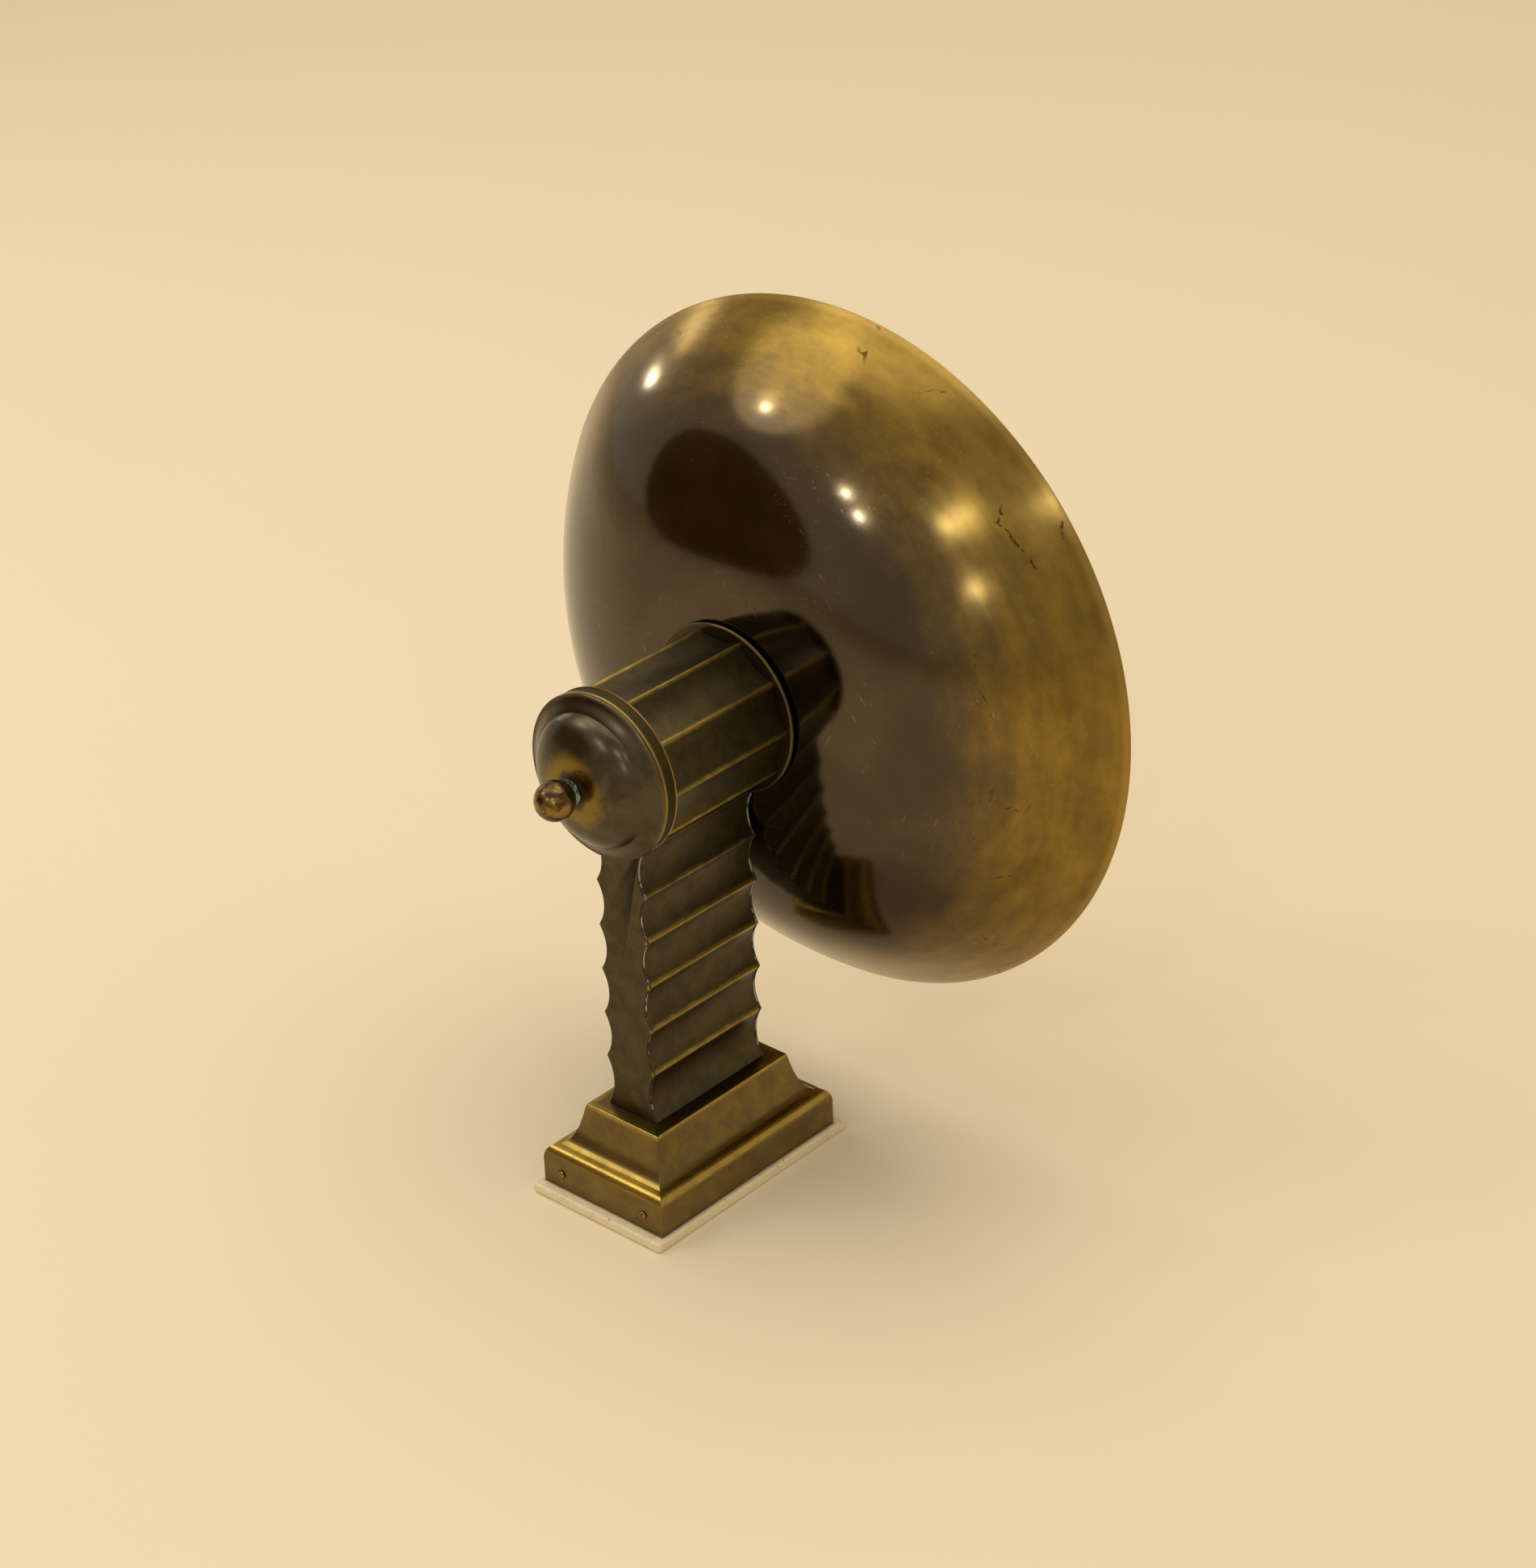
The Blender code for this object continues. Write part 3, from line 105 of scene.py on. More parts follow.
# %% [markdown]
# ## Finishes as node graphs
#
# A finish that looks real changes over the surface: brass is dark where lacquer and dirt
# stayed and golden where hands rubbed it. Each finish here is a small node graph, and the
# graph is written as sums. The class `Flow` holds one output socket, and an operator on it
# adds the Math node that does the sum, so `1 - mask` reads as it would on paper.

# %% A socket that can be added and multiplied
class Flow:
    """One output socket, on which arithmetic adds Math nodes."""

    def __init__(self, finish, socket):
        self.finish = finish
        self.socket = socket

    def math(self, operation, first, second=None):
        values = {0: first} if second is None else {0: first, 1: second}
        return self.finish.node("ShaderNodeMath", {"operation": operation}, values)

    def __add__(self, other):
        return self.math("ADD", self, other)

    def __radd__(self, other):
        return self.math("ADD", other, self)

    def __sub__(self, other):
        return self.math("SUBTRACT", self, other)

    def __rsub__(self, other):
        return self.math("SUBTRACT", other, self)

    def __mul__(self, other):
        return self.math("MULTIPLY", self, other)

    def __rmul__(self, other):
        return self.math("MULTIPLY", other, self)

    def __truediv__(self, other):
        return self.math("DIVIDE", self, other)

    def __pow__(self, other):
        return self.math("POWER", self, other)

    def __abs__(self):
        return self.math("ABSOLUTE", self)

    def larger(self, other):
        return self.math("MAXIMUM", self, other)


print("sums ready")


# %% A finish: one material and the nodes that it can add
class Finish:
    """A Principled material, with one method for any node and a few for common ones."""

    def __init__(self, name):
        self.material = bpy.data.materials.new(name)
        self.material.use_nodes = True
        self.tree = self.material.node_tree
        self.shader = self.tree.nodes["Principled BSDF"]

    def node(self, kind, settings=None, values=None, output=0):
        made = self.tree.nodes.new(kind)
        for key, value in (settings or {}).items():
            setattr(made, key, value)
        for key, value in (values or {}).items():
            if isinstance(value, Flow):
                self.tree.links.new(value.socket, made.inputs[key])
            else:
                made.inputs[key].default_value = value
        return Flow(self, made.outputs[output])

    def place(self, centre=(0, 0, 0), stretch=(1, 1, 1), turn=(0, 0, 0)):
        """Object coordinates about a centre, turned and stretched."""
        spot = self.node("ShaderNodeTexCoord", output="Object")
        return self.node("ShaderNodeMapping", {"vector_type": "TEXTURE"},
                         {"Vector": spot, "Location": centre, "Rotation": turn, "Scale": stretch})

    def noise(self, spot, size, detail=3.0, sharp=0.55, twist=0.0):
        """Cloudy noise from 0 to 1, with blobs of about a size in metres."""
        return self.node("ShaderNodeTexNoise", None,
                         {"Vector": spot, "Scale": 1 / size, "Detail": detail, "Roughness": sharp,
                          "Distortion": twist})

    def step(self, value, low, high, start=0.0, end=1.0):
        """A smooth step: start below low, end above high."""
        return self.node("ShaderNodeMapRange", {"interpolation_type": "SMOOTHSTEP"},
                         {"Value": value, "From Min": low, "From Max": high, "To Min": start,
                          "To Max": end})

    def mix(self, share, first, second):
        """A colour between two colours."""
        first, second = [c if isinstance(c, Flow) else (*c, 1) for c in (first, second)]
        return self.node("ShaderNodeMix", {"data_type": "RGBA"}, {0: share, 6: first, 7: second}, 2)

    def attribute(self, name):
        """A number stored at the piece's points."""
        return self.node("ShaderNodeAttribute", {"attribute_name": name}, output="Fac")

    def axes(self, spot):
        """The x, y and z of a vector."""
        split = self.node("ShaderNodeSeparateXYZ", None, {0: spot}).socket.node
        return [Flow(self, split.outputs[i]) for i in range(3)]

    def set(self, **values):
        """Values or links for the shader's sockets, whose spaces are written as underscores."""
        for key, value in values.items():
            socket = self.shader.inputs[key.replace("_", " ")]
            if isinstance(value, Flow):
                self.tree.links.new(value.socket, socket)
            else:
                socket.default_value = (*value, 1) if isinstance(value, tuple) else value

    def bump(self, height, depth, strength=1.0):
        """Turn a height from 0 to 1 into dents of a depth in metres."""
        self.set(Normal=self.node("ShaderNodeBump", None,
                                  {"Height": height, "Distance": depth, "Strength": strength}))


print("finish kit ready")

# %% [markdown]
# ## The studio
#
# A cream floor that runs out of view in every direction gives a plain ground, and its light
# comes back up into the polished brass. Brass shows nothing but what it reflects, so the
# lights matter more than its colour: one broad soft panel overhead for the form, a few small
# bright lamps for sparks, and a dark screen, seen only in reflections, for depth.

# %% Floor
bpy.ops.mesh.primitive_plane_add(size=12, location=(0, 0, 0))
floor = bpy.context.object
floor.name = "floor"
paper = Finish("cream_paper")
spot = paper.place()
fibre = paper.noise(spot, 0.45, 3)
paper.set(Base_Color=paper.mix(fibre, (0.80, 0.705, 0.520), (0.82, 0.720, 0.535)), Roughness=0.75,
          Specular_IOR_Level=0.25)
floor.data.materials.append(paper.material)
print("floor", floor.dimensions[:])


# %% Lights
def lamp(name, place, target, size, power, colour=(1.0, 0.93, 0.80)):
    """A flat round lamp at a place, facing a target."""
    data = bpy.data.lights.new(name, "AREA")
    data.shape = "DISK"
    data.size = size
    data.energy = power
    data.color = colour
    light = bpy.data.objects.new(name, data)
    bpy.context.scene.collection.objects.link(light)
    light.location = place
    light.rotation_euler = (Vector(place) - Vector(target)).to_track_quat("Z", "Y").to_euler()
    return light


lamp("sky_panel", (-0.3, 0.7, 3.2), (-0.2, 0.5, 0), 4.4, 50, (1.0, 0.95, 0.86))
lamp("high_window", (-1.35, -0.85, 2.1), (0, 0.1, 0.4), 1.4, 7.5, (1.0, 0.94, 0.80))
lamp("left_panel", (-2.25, 0.3, 1.15), (0, 0, 0.3), 0.35, 1.2)
SPARKS = [(-2.2, 0.2, 0.72), (-1.36, -1.02, 1.70), (-0.11, -1.89, 1.38), (0.98, -1.47, 1.69),
          (1.26, -1.68, 1.03), (1.55, -0.91, 1.75), (-0.30, -1.80, 1.55), (0.85, -1.60, 1.60)]
for number, place in enumerate(SPARKS, 1):
    lamp(f"spark_{number}", place, (0, 0, 0.35), 0.05, 1.1, (0.96, 0.97, 1.0))
world = bpy.data.worlds.new("dim_room")
bpy.context.scene.world = world
world.use_nodes = True
glow = world.node_tree.nodes["Background"].inputs
glow["Color"].default_value = (0.62, 0.53, 0.39, 1)
glow["Strength"].default_value = 0.96

# %% A dark screen that only reflections see
bpy.ops.mesh.primitive_circle_add(vertices=64, radius=0.62, fill_type="NGON",
                                  location=(-1.50, -1.50, 0.72), rotation=(radians(90), 0, radians(-44)))
screen = bpy.context.object
screen.scale = (1.75, 1.10, 1)
screen.name = "dark_screen"
felt = Finish("brown_felt")
felt.set(Base_Color=felt.mix(felt.noise(felt.place(), 0.5, 2), (0.10, 0.060, 0.026), (0.26, 0.17, 0.085)),
         Roughness=0.9)
screen.data.materials.append(felt.material)
screen.visible_camera = False
screen.visible_shadow = False
screen.visible_diffuse = False
print("screen stands at", screen.location[:])

# %% [markdown]
# ## Drawing tools
#
# Nearly every brass piece of this lamp was either spun on a lathe or pressed in a fluted
# tool. Both are drawn the same way here: a pen point is put down, extruded along a profile
# and then spun. The spin runs once round the barrel's axis for a turned piece, and through
# one shallow arc after another for flutes.


# %% A pen that draws points
def mode(name):
    bpy.ops.object.mode_set(mode=name)


def pick(action):
    bpy.ops.mesh.select_all(action=action)


def put_pen(name, place):
    """Start a mesh with one point, in edit mode."""
    bpy.ops.mesh.primitive_plane_add(size=0.001, location=(0, 0, 0))
    piece = bpy.context.object
    piece.name = piece.data.name = name
    mode("EDIT")
    bpy.ops.mesh.select_mode(type="VERT")
    bpy.ops.mesh.merge(type="CENTER")
    bpy.ops.transform.translate(value=place)
    return piece


def draw(points):
    """Extrude the pen's point from each point to the next."""
    for start, stop in zip(points, points[1:]):
        bpy.ops.mesh.extrude_vertices_move(TRANSFORM_OT_translate={"value": Vector(stop) - Vector(start)})


def close_up():
    """Merge what meets, turn every face outwards and leave edit mode."""
    pick("SELECT")
    bpy.ops.mesh.remove_doubles(threshold=2e-6)
    bpy.ops.mesh.normals_make_consistent(inside=False)
    mode("OBJECT")


def lathe(name, profile, turns=128):
    """Spin a profile of (radius, y) once round the barrel's axis."""
    points = [(radius, y, AXIS) for radius, y in profile]
    piece = put_pen(name, points[0])
    draw(points)
    pick("SELECT")
    bpy.ops.mesh.spin(steps=turns, angle=2 * pi, center=(0, 0, AXIS), axis=(0, 1, 0))
    close_up()
    return piece


print("pen ready")

# %% Smooth lines for profiles
def curve_line(p0, p1, p2, p3, count):
    """Points on a curve that leaves p0 towards p1 and reaches p3 from p2."""
    points = []
    for i in range(count + 1):
        t = i / count
        weights = ((1 - t) ** 3, 3 * t * (1 - t) ** 2, 3 * t * t * (1 - t), t ** 3)
        points.append(tuple(sum(w * p[axis] for w, p in zip(weights, (p0, p1, p2, p3)))
                            for axis in (0, 1)))
    return points


def arc_line(centre, radii, start, stop, count):
    """Points on part of an ellipse, its angles in degrees."""
    angles = [radians(start + (stop - start) * i / count) for i in range(count + 1)]
    return [(centre[0] + radii[0] * cos(a), centre[1] + radii[1] * sin(a)) for a in angles]


print("profile lines ready")

# %% Modifiers, drills and the last steps of every piece
def work_on(piece):
    bpy.ops.object.select_all(action="DESELECT")
    piece.select_set(True)
    bpy.context.view_layer.objects.active = piece


def apply(piece, kind, **settings):
    """Add a modifier and apply it."""
    work_on(piece)
    modifier = piece.modifiers.new(kind.lower(), kind)
    for key, value in settings.items():
        setattr(modifier, key, value)
    bpy.ops.object.modifier_apply(modifier=modifier.name)


def soften(piece, width, segments=2, angle=25):
    """Round every edge sharper than an angle."""
    apply(piece, "BEVEL", width=width, segments=segments, limit_method="ANGLE",
          angle_limit=radians(angle), use_clamp_overlap=True)


def cut_with(piece, cutter):
    """Take a cutter away from a piece, then throw the cutter away."""
    apply(piece, "BOOLEAN", operation="DIFFERENCE", solver="MANIFOLD", object=cutter)
    bpy.data.objects.remove(cutter, do_unlink=True)


def drill(piece, radius, depth, place, turn=(0, 0, 0), sides=33):
    """Drill a round hole, its middle at a place."""
    bpy.ops.mesh.primitive_cylinder_add(vertices=sides, radius=radius, depth=depth, location=place,
                                        rotation=turn)
    cut_with(piece, bpy.context.object)


def mark_edges(piece):
    """Store at each point how much it stands out (edge) or lies in a corner (dip)."""
    shape = bmesh.new()
    shape.from_mesh(piece.data)
    edges, dips = [], []
    for point in shape.verts:
        turns = [e.calc_face_angle_signed(0.0) for e in point.link_edges if len(e.link_faces) == 2]
        edges.append(min(1.0, max([0.0] + turns) / radians(24)))
        dips.append(min(1.0, max([0.0] + [-turn for turn in turns]) / radians(24)))
    shape.free()
    for name, values in (("edge", edges), ("dip", dips)):
        stored = piece.data.attributes.new(name, "FLOAT", "POINT")
        stored.data.foreach_set("value", values)


def complete(piece, body, nodes, finish, angle=28):
    """The steps that end every piece: shading, marks, finish, body and what it replaces."""
    work_on(piece)
    bpy.ops.object.transform_apply(location=True, rotation=True, scale=True)
    mark_edges(piece)
    bpy.ops.object.shade_smooth_by_angle(angle=radians(angle))
    apply(piece, "WEIGHTED_NORMAL", keep_sharp=True)
    piece.data.materials.clear()
    piece.data.materials.append(finish.material)
    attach(piece, body)
    if nodes:
        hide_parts(*nodes)
    print(piece.name, len(piece.data.polygons), "faces")


print("finishing steps ready")

# %% [markdown]
# ## Brass, dark and rubbed
#
# All the brass left the works with a brown chemical patina. Decades of hands and cloths took
# it off the ridges and edges first, so gold shows there, broken by specks where the patina
# holds on. Each fluted piece tells where its ridges are: the column's stand furthest out in
# X, the barrel's are furthest from its axis, and the plinth's follow its height. Turned pieces
# use the `edge` mark of each point. Noise then eats into the gold. Shade is painted into the
# corners and flute valleys from the `dip` mark, nearly black, on all but the plinth.

# %% A patinated brass, with its own rub and colours
def patinated(name, dark, deep, gold, ridge=None, rough=(0.36, 0.30), cloud=0.02, shade_share=0.8):
    """Dark patina with gold where ridge is 1, and painted shade in the corners. rough gives the patina's
    roughness and the gold's.
    """
    metal = Finish(name)
    spot = metal.place()
    clouds = metal.noise(spot, cloud, 5, 0.6, 0.4)
    grain = metal.noise(spot, 0.0011, 3, 0.7)
    specks = metal.noise(spot, 0.0019, 2, 0.6)
    high = ridge(metal) if ridge else metal.step(metal.attribute("edge"), 0.2, 0.9)
    rub = metal.step(high + (clouds - 0.5) * 1.0 + (grain - 0.5) * 0.4, 0.25, 1.10)
    body = metal.mix(metal.step(clouds, 0.35, 0.68), dark, deep)
    worn = metal.mix(clouds, tuple(0.62 * c for c in gold), gold)
    colour = metal.mix(rub, body, worn)
    spotted = metal.step(specks, 0.66, 0.74) * metal.step(clouds, 0.30, 0.60)
    colour = metal.mix(spotted * 0.75, colour, tuple(0.35 * c for c in dark))
    # Painted shade: corners and flute valleys, found by the dip mark, are darkened nearly to black, as much
    # as shade_share allows.
    painted_shade = metal.step(metal.attribute("dip") + (grain - 0.5) * 0.4, 0.25, 0.9) * shade_share
    colour = metal.mix(painted_shade, colour, (0.012, 0.010, 0.008))
    metal.set(Base_Color=colour, Metallic=1.0,
              Roughness=rough[0] + (rough[1] - rough[0]) * rub + (grain - 0.5) * 0.10 + painted_shade * 0.25)
    metal.bump(grain * 0.6 + specks * 0.4, 0.00004, 0.16)
    return metal


def column_ridge(metal):
    """1 where the column's sides stand furthest out, less near its foot and under the barrel."""
    x, y, z = metal.axes(metal.place())
    fade = metal.step(z, 0.062, 0.074) * metal.step(z, AXIS - 0.095, AXIS - 0.060, 1, 0.45)
    return metal.step(abs(x), 0.0154, 0.0178) * fade


def barrel_ridge(metal):
    """1 furthest from the barrel's axis."""
    x, y, z = metal.axes(metal.place((0, 0, AXIS)))
    return metal.step((x * x + z * z) ** 0.5, 0.0449, 0.0473) * 0.92


def plinth_ridge(metal):
    """1 on the plinth's top edge and shoulder, less in its hollow and on its skirt."""
    x, y, z = metal.axes(metal.place())
    from_column = (abs(x) - COLUMN_WIDTH / 2).larger(abs(y) - COLUMN_DEPTH / 2)
    top = metal.step(z, 0.0520, 0.0560) * metal.step(from_column, 0.001, 0.009)
    shoulder = metal.step(z, 0.0235, 0.0275) * metal.step(z, 0.0300, 0.0340, 1, 0)
    foot = metal.step(z, 0.0075, 0.0105, 1, 0)
    return top * 0.9 + shoulder * 0.9 + foot * 0.3


GOLD = (0.42, 0.305, 0.062)
column_brass = patinated("column_brass", (0.088, 0.070, 0.034), (0.060, 0.048, 0.029), GOLD, column_ridge,
                         cloud=0.011)
barrel_brass = patinated("barrel_brass", (0.080, 0.062, 0.026), (0.055, 0.043, 0.022), GOLD, barrel_ridge,
                         cloud=0.010)
plinth_brass = patinated("plinth_brass", (0.215, 0.155, 0.047), (0.155, 0.108, 0.046), (0.56, 0.390, 0.085),
                         plinth_ridge, (0.33, 0.27), 0.014, 0.0)
print("brass finishes:", column_brass.material.name, barrel_brass.material.name, plinth_brass.material.name)

# %% [markdown]
# ## The board
#
# A block of painted wood sits between the wall and the brass. Wood that is painted by hand
# has soft corners and a chip or two. Along the foot of the brass a dark band of painted shade
# is laid on the board. It starts as a cube shaped in edit mode: the four standing edges get a
# wide round, the others a small one.

# %% Painted wood
paint = Finish("ivory_paint")
spot = paint.place()
x, y, z = paint.axes(spot)
brush = paint.noise(paint.place(stretch=(1, 6, 1)), 0.004, 4, 0.6)
dirt_cloud = paint.noise(spot, 0.012, 5, 0.65)
fleck = paint.noise(spot, 0.0028, 3, 0.7)
beyond_brass = (abs(x) - PLINTH_WIDTH / 2).larger(abs(y) - PLINTH_LENGTH / 2)
# Painted shade: a dark band on the board within 1.6 mm of the brass, where the two meet. The dirt clouds
# vary its strength.
shade_by_brass = paint.step(beyond_brass, 0.0, 0.0016, 1, 0)
chip = paint.step(fleck + paint.attribute("edge") * 0.22, 0.80, 0.84)
ivory = paint.mix(brush, (0.70, 0.60, 0.38), (0.80, 0.70, 0.47))
ivory = paint.mix(paint.step(dirt_cloud, 0.52, 0.75) * 0.4, ivory, (0.42, 0.34, 0.18))
# The painted shade along the brass darkens the ivory here.
ivory = paint.mix(shade_by_brass * (0.35 + dirt_cloud * 0.8), ivory, (0.10, 0.08, 0.045))
ivory = paint.mix(chip, ivory, (0.16, 0.10, 0.05))
paint.set(Base_Color=ivory, Roughness=0.42 + dirt_cloud * 0.2)
paint.bump(brush * 0.4 + (1 - chip) * 0.6, 0.00025, 0.5)
print("board finish ready")

# %% Shape the board
bpy.ops.mesh.primitive_cube_add(size=1, location=(0, 0, BOARD[2] / 2))
board = bpy.context.object
board.name = "board"
mode("EDIT")
bpy.ops.transform.resize(value=BOARD)
pick("DESELECT")
mode("OBJECT")
for edge in board.data.edges:
    a, b = (board.data.vertices[i].co for i in edge.vertices)
    edge.select = abs(a.z - b.z) > 0.001
mode("EDIT")
bpy.ops.mesh.select_mode(type="EDGE")
bpy.ops.mesh.bevel(offset=0.0016, segments=5)
pick("DESELECT")
mode("OBJECT")
soften(board, 0.0008, 3, 40)
drill(board, 0.006, 0.03, (0, 0.024, 0))
for sx in (-1, 1):
    for sy in (-1, 1):
        drill(board, 0.002, 2 * (BOARD[2] - 0.001), (sx * 0.030, sy * 0.050, BOARD[2]), sides=15)
complete(board, "frame", ["wooden_backboard"], paint)

# %% [markdown]
# ## The plinth
#
# The plinth was folded and pressed from sheet brass: a flat top, a long hollow sweep, a round
# shoulder and an upright skirt, mitred at four corners. Its top is a plane. The plane's rim
# is extruded again and again and resized to the moulding's next width, so the four mitres
# stay true. Solidify then gives the sheet its thickness.

# %% The moulding's profile: (inset from the skirt, height above the board)
SETBACK, SKIRT, SHOULDER_RISE, SHOULDER_DEPTH = 0.0183, 0.0155, 0.0083, 0.0055
TOP_EDGE = 0.0009
shoulder_top = SKIRT + SHOULDER_RISE
sweep = curve_line((SETBACK, PLINTH_HEIGHT - TOP_EDGE), (0.85 * SETBACK, 0.72 * PLINTH_HEIGHT),
                   (0.72 * SETBACK, 1.03 * shoulder_top), (SHOULDER_DEPTH, shoulder_top), 22)
shoulder = arc_line((SHOULDER_DEPTH, SKIRT), (-SHOULDER_DEPTH, SHOULDER_RISE), 90, 0, 12)
lip = arc_line((SETBACK + TOP_EDGE, PLINTH_HEIGHT - TOP_EDGE), (-TOP_EDGE, TOP_EDGE), 90, 0, 4)
moulding = lip + sweep[1:] + shoulder[1:] + [(0, 0.008), (0, GAP)]
print(len(moulding), "stations down the moulding")

# %% Extrude the rim down the moulding
bpy.ops.mesh.primitive_plane_add(size=1, location=(0, 0, 0))
plinth = bpy.context.object
plinth.name = "plinth"
inset, height = moulding[0]
width, length = PLINTH_WIDTH - 2 * inset, PLINTH_LENGTH - 2 * inset
mode("EDIT")
bpy.ops.mesh.select_mode(type="EDGE")
pick("SELECT")
bpy.ops.transform.resize(value=(width, length, 1))
bpy.ops.transform.translate(value=(0, 0, BOARD[2] + height))
for inset, lower in moulding[1:]:
    bpy.ops.mesh.extrude_edges_move(TRANSFORM_OT_translate={"value": (0, 0, lower - height)})
    new_width, new_length = PLINTH_WIDTH - 2 * inset, PLINTH_LENGTH - 2 * inset
    bpy.ops.transform.resize(value=(new_width / width, new_length / length, 1),
                             center_override=(0, 0, BOARD[2] + lower))
    width, length, height = new_width, new_length, lower
close_up()
apply(plinth, "SOLIDIFY", thickness=SHEET, offset=-1, use_even_offset=True)
soften(plinth, 0.00045, 3, 30)
drill(plinth, TUBE_HOLE, 0.02, (0, 0, BOARD[2] + PLINTH_HEIGHT))
COVER_SCREW_X, COVER_SCREW_Z = 0.0315, BOARD[2] + 0.0095
for end in (-1, 1):
    for side in (-1, 1):
        hole = (side * COVER_SCREW_X, end * PLINTH_LENGTH / 2, COVER_SCREW_Z)
        drill(plinth, 0.0019, 0.02, hole, (pi / 2, 0, 0), 31)
        drill(plinth, 0.0029, 0.0008, hole, (pi / 2, 0, 0), 47)
complete(plinth, "frame", ["plinth_cover"], plinth_brass)

# %% [markdown]
# ## Slotted screws
#
# One screw is modelled and copied. Its head starts as a cylinder whose top edge gets a wide
# bevel, which makes the dome, and a thin cube cuts the slot. It is drawn head up at the
# origin, then every copy is turned and moved into its place in its mesh.

# %% One screw
def screw_model(head_radius, head_height, shank, length):
    """A slotted screw on the origin, its head up."""
    bpy.ops.mesh.primitive_cylinder_add(vertices=40, radius=head_radius, depth=head_height,
                                        location=(0, 0, head_height / 2))
    screw = bpy.context.object
    mode("EDIT")
    bpy.ops.mesh.select_mode(type="FACE")
    pick("DESELECT")
    mode("OBJECT")
    for face in screw.data.polygons:
        face.select = face.normal.z < -0.5
    mode("EDIT")
    bpy.ops.mesh.inset(thickness=head_radius - shank)
    bpy.ops.mesh.extrude_region_move(TRANSFORM_OT_translate={"value": (0, 0, -length)})
    pick("DESELECT")
    mode("OBJECT")
    top = head_height * 0.99
    for edge in screw.data.edges:
        a, b = (screw.matrix_world @ screw.data.vertices[i].co for i in edge.vertices)
        edge.select = a.z > top and b.z > top
    mode("EDIT")
    bpy.ops.mesh.select_mode(type="EDGE")
    bpy.ops.mesh.bevel(offset=0.6 * head_height, segments=5)
    mode("OBJECT")
    bpy.ops.mesh.primitive_cube_add(size=1, location=(0, 0, head_height), scale=(0.01, 0.0007, 0.0016))
    cut_with(screw, bpy.context.object)
    work_on(screw)
    bpy.ops.object.transform_apply(location=True, rotation=True, scale=True)
    return screw


def set_screw(model, name, place, turn, slot_turn, finish):
    """A copy of the model with its own mesh, put in its place."""
    screw = model.copy()
    screw.data = model.data.copy()
    screw.name = name + "_fine"
    bpy.context.scene.collection.objects.link(screw)
    rotation = Matrix.Rotation(turn, 4, "X") @ Matrix.Rotation(slot_turn, 4, "Z")
    screw.data.transform(Matrix.Translation(place) @ rotation)
    complete(screw, "frame", [name], finish)


screw_brass = patinated("screw_brass", (0.20, 0.135, 0.045), (0.12, 0.08, 0.03), (0.50, 0.35, 0.11))
model = screw_model(0.0023, 0.0014, 0.0016, 0.007)
for number, (side, end) in enumerate(((-1, -1), (1, -1), (-1, 1), (1, 1)), 1):
    place = (side * COVER_SCREW_X, end * (PLINTH_LENGTH / 2 - 0.0001), COVER_SCREW_Z)
    set_screw(model, f"cover_screw_{number}", place, -end * pi / 2, radians(35 * number),
              screw_brass)
bpy.data.objects.remove(model, do_unlink=True)

# %% [markdown]
# ## The fluted column
#
# Two sheets were pressed into flutes and soldered between two flat plates with scalloped
# edges. A flute is a shallow arc, so an edge that lies along Y is spun through one arc after
# another up the column. The arc's centre is found from its width and depth. Both sheets and
# plates are then coped: a copy of the barrel's outline is cut from their tops.

# %% Sizes of the flutes
FOOT = BOARD[2] + PLINTH_HEIGHT + GAP
FOOT_FLUTE, PITCH, FLUTE_DEPTH = 0.0316, 0.0285, 0.0046
BARREL_VALLEY = BARREL_RADIUS - BARREL_FLUTE
heights = [FOOT, FOOT + FOOT_FLUTE]
while heights[-1] < AXIS - BARREL_VALLEY + PITCH:
    heights.append(heights[-1] + PITCH)
print("ridges at", [round(h, 4) for h in heights])


def arc_through(width, depth):
    """Radius and half angle of a shallow arc of a width and depth."""
    radius = (width ** 2 / 4 + depth ** 2) / (2 * depth)
    return radius, asin(width / 2 / radius)


def spin_arc(centre, angle, steps=14):
    """Spin the selected edge about an axis along Y."""
    bpy.ops.mesh.spin(steps=steps, angle=angle, center=centre, axis=(0, 1, 0))


# %% The barrel's outline, as a sheet or as a cutter
def fluted_tube(name, radius, low, high):
    """An edge along Y, spun through ten shallow arcs round the axis."""
    piece = put_pen(name, (radius, low, AXIS))
    draw([(radius, low, AXIS), (radius, high, AXIS)])
    pick("SELECT")
    half_turn = pi / BARREL_FLUTES
    chord = 2 * radius * sin(half_turn)
    depth = BARREL_FLUTE - radius * (1 - cos(half_turn))
    arc_radius, half = arc_through(chord, depth)
    reach = radius * cos(half_turn) - depth + arc_radius
    for number in range(BARREL_FLUTES):
        middle = half_turn * (2 * number + 1)
        spin_arc((reach * cos(middle), 0, AXIS + reach * sin(middle)), -2 * half)
    pick("SELECT")
    bpy.ops.mesh.remove_doubles(threshold=2e-6)
    return piece


def cope(piece):
    """Cut a piece's top to the flange and the barrel, with a working gap."""
    flange_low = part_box("flange_plate")[0]
    reach = 0.08
    drill(piece, GAP - flange_low.x, reach, (0, flange_low.y - GAP + reach / 2, AXIS), (pi / 2, 0, 0), 97)
    cutter = fluted_tube("cope_cutter", BARREL_RADIUS + GAP, -reach, reach)
    bpy.ops.mesh.select_mode(type="EDGE")
    pick("DESELECT")
    bpy.ops.mesh.select_non_manifold()
    bpy.ops.mesh.edge_face_add()
    close_up()
    cut_with(piece, cutter)


print("flute tools ready")

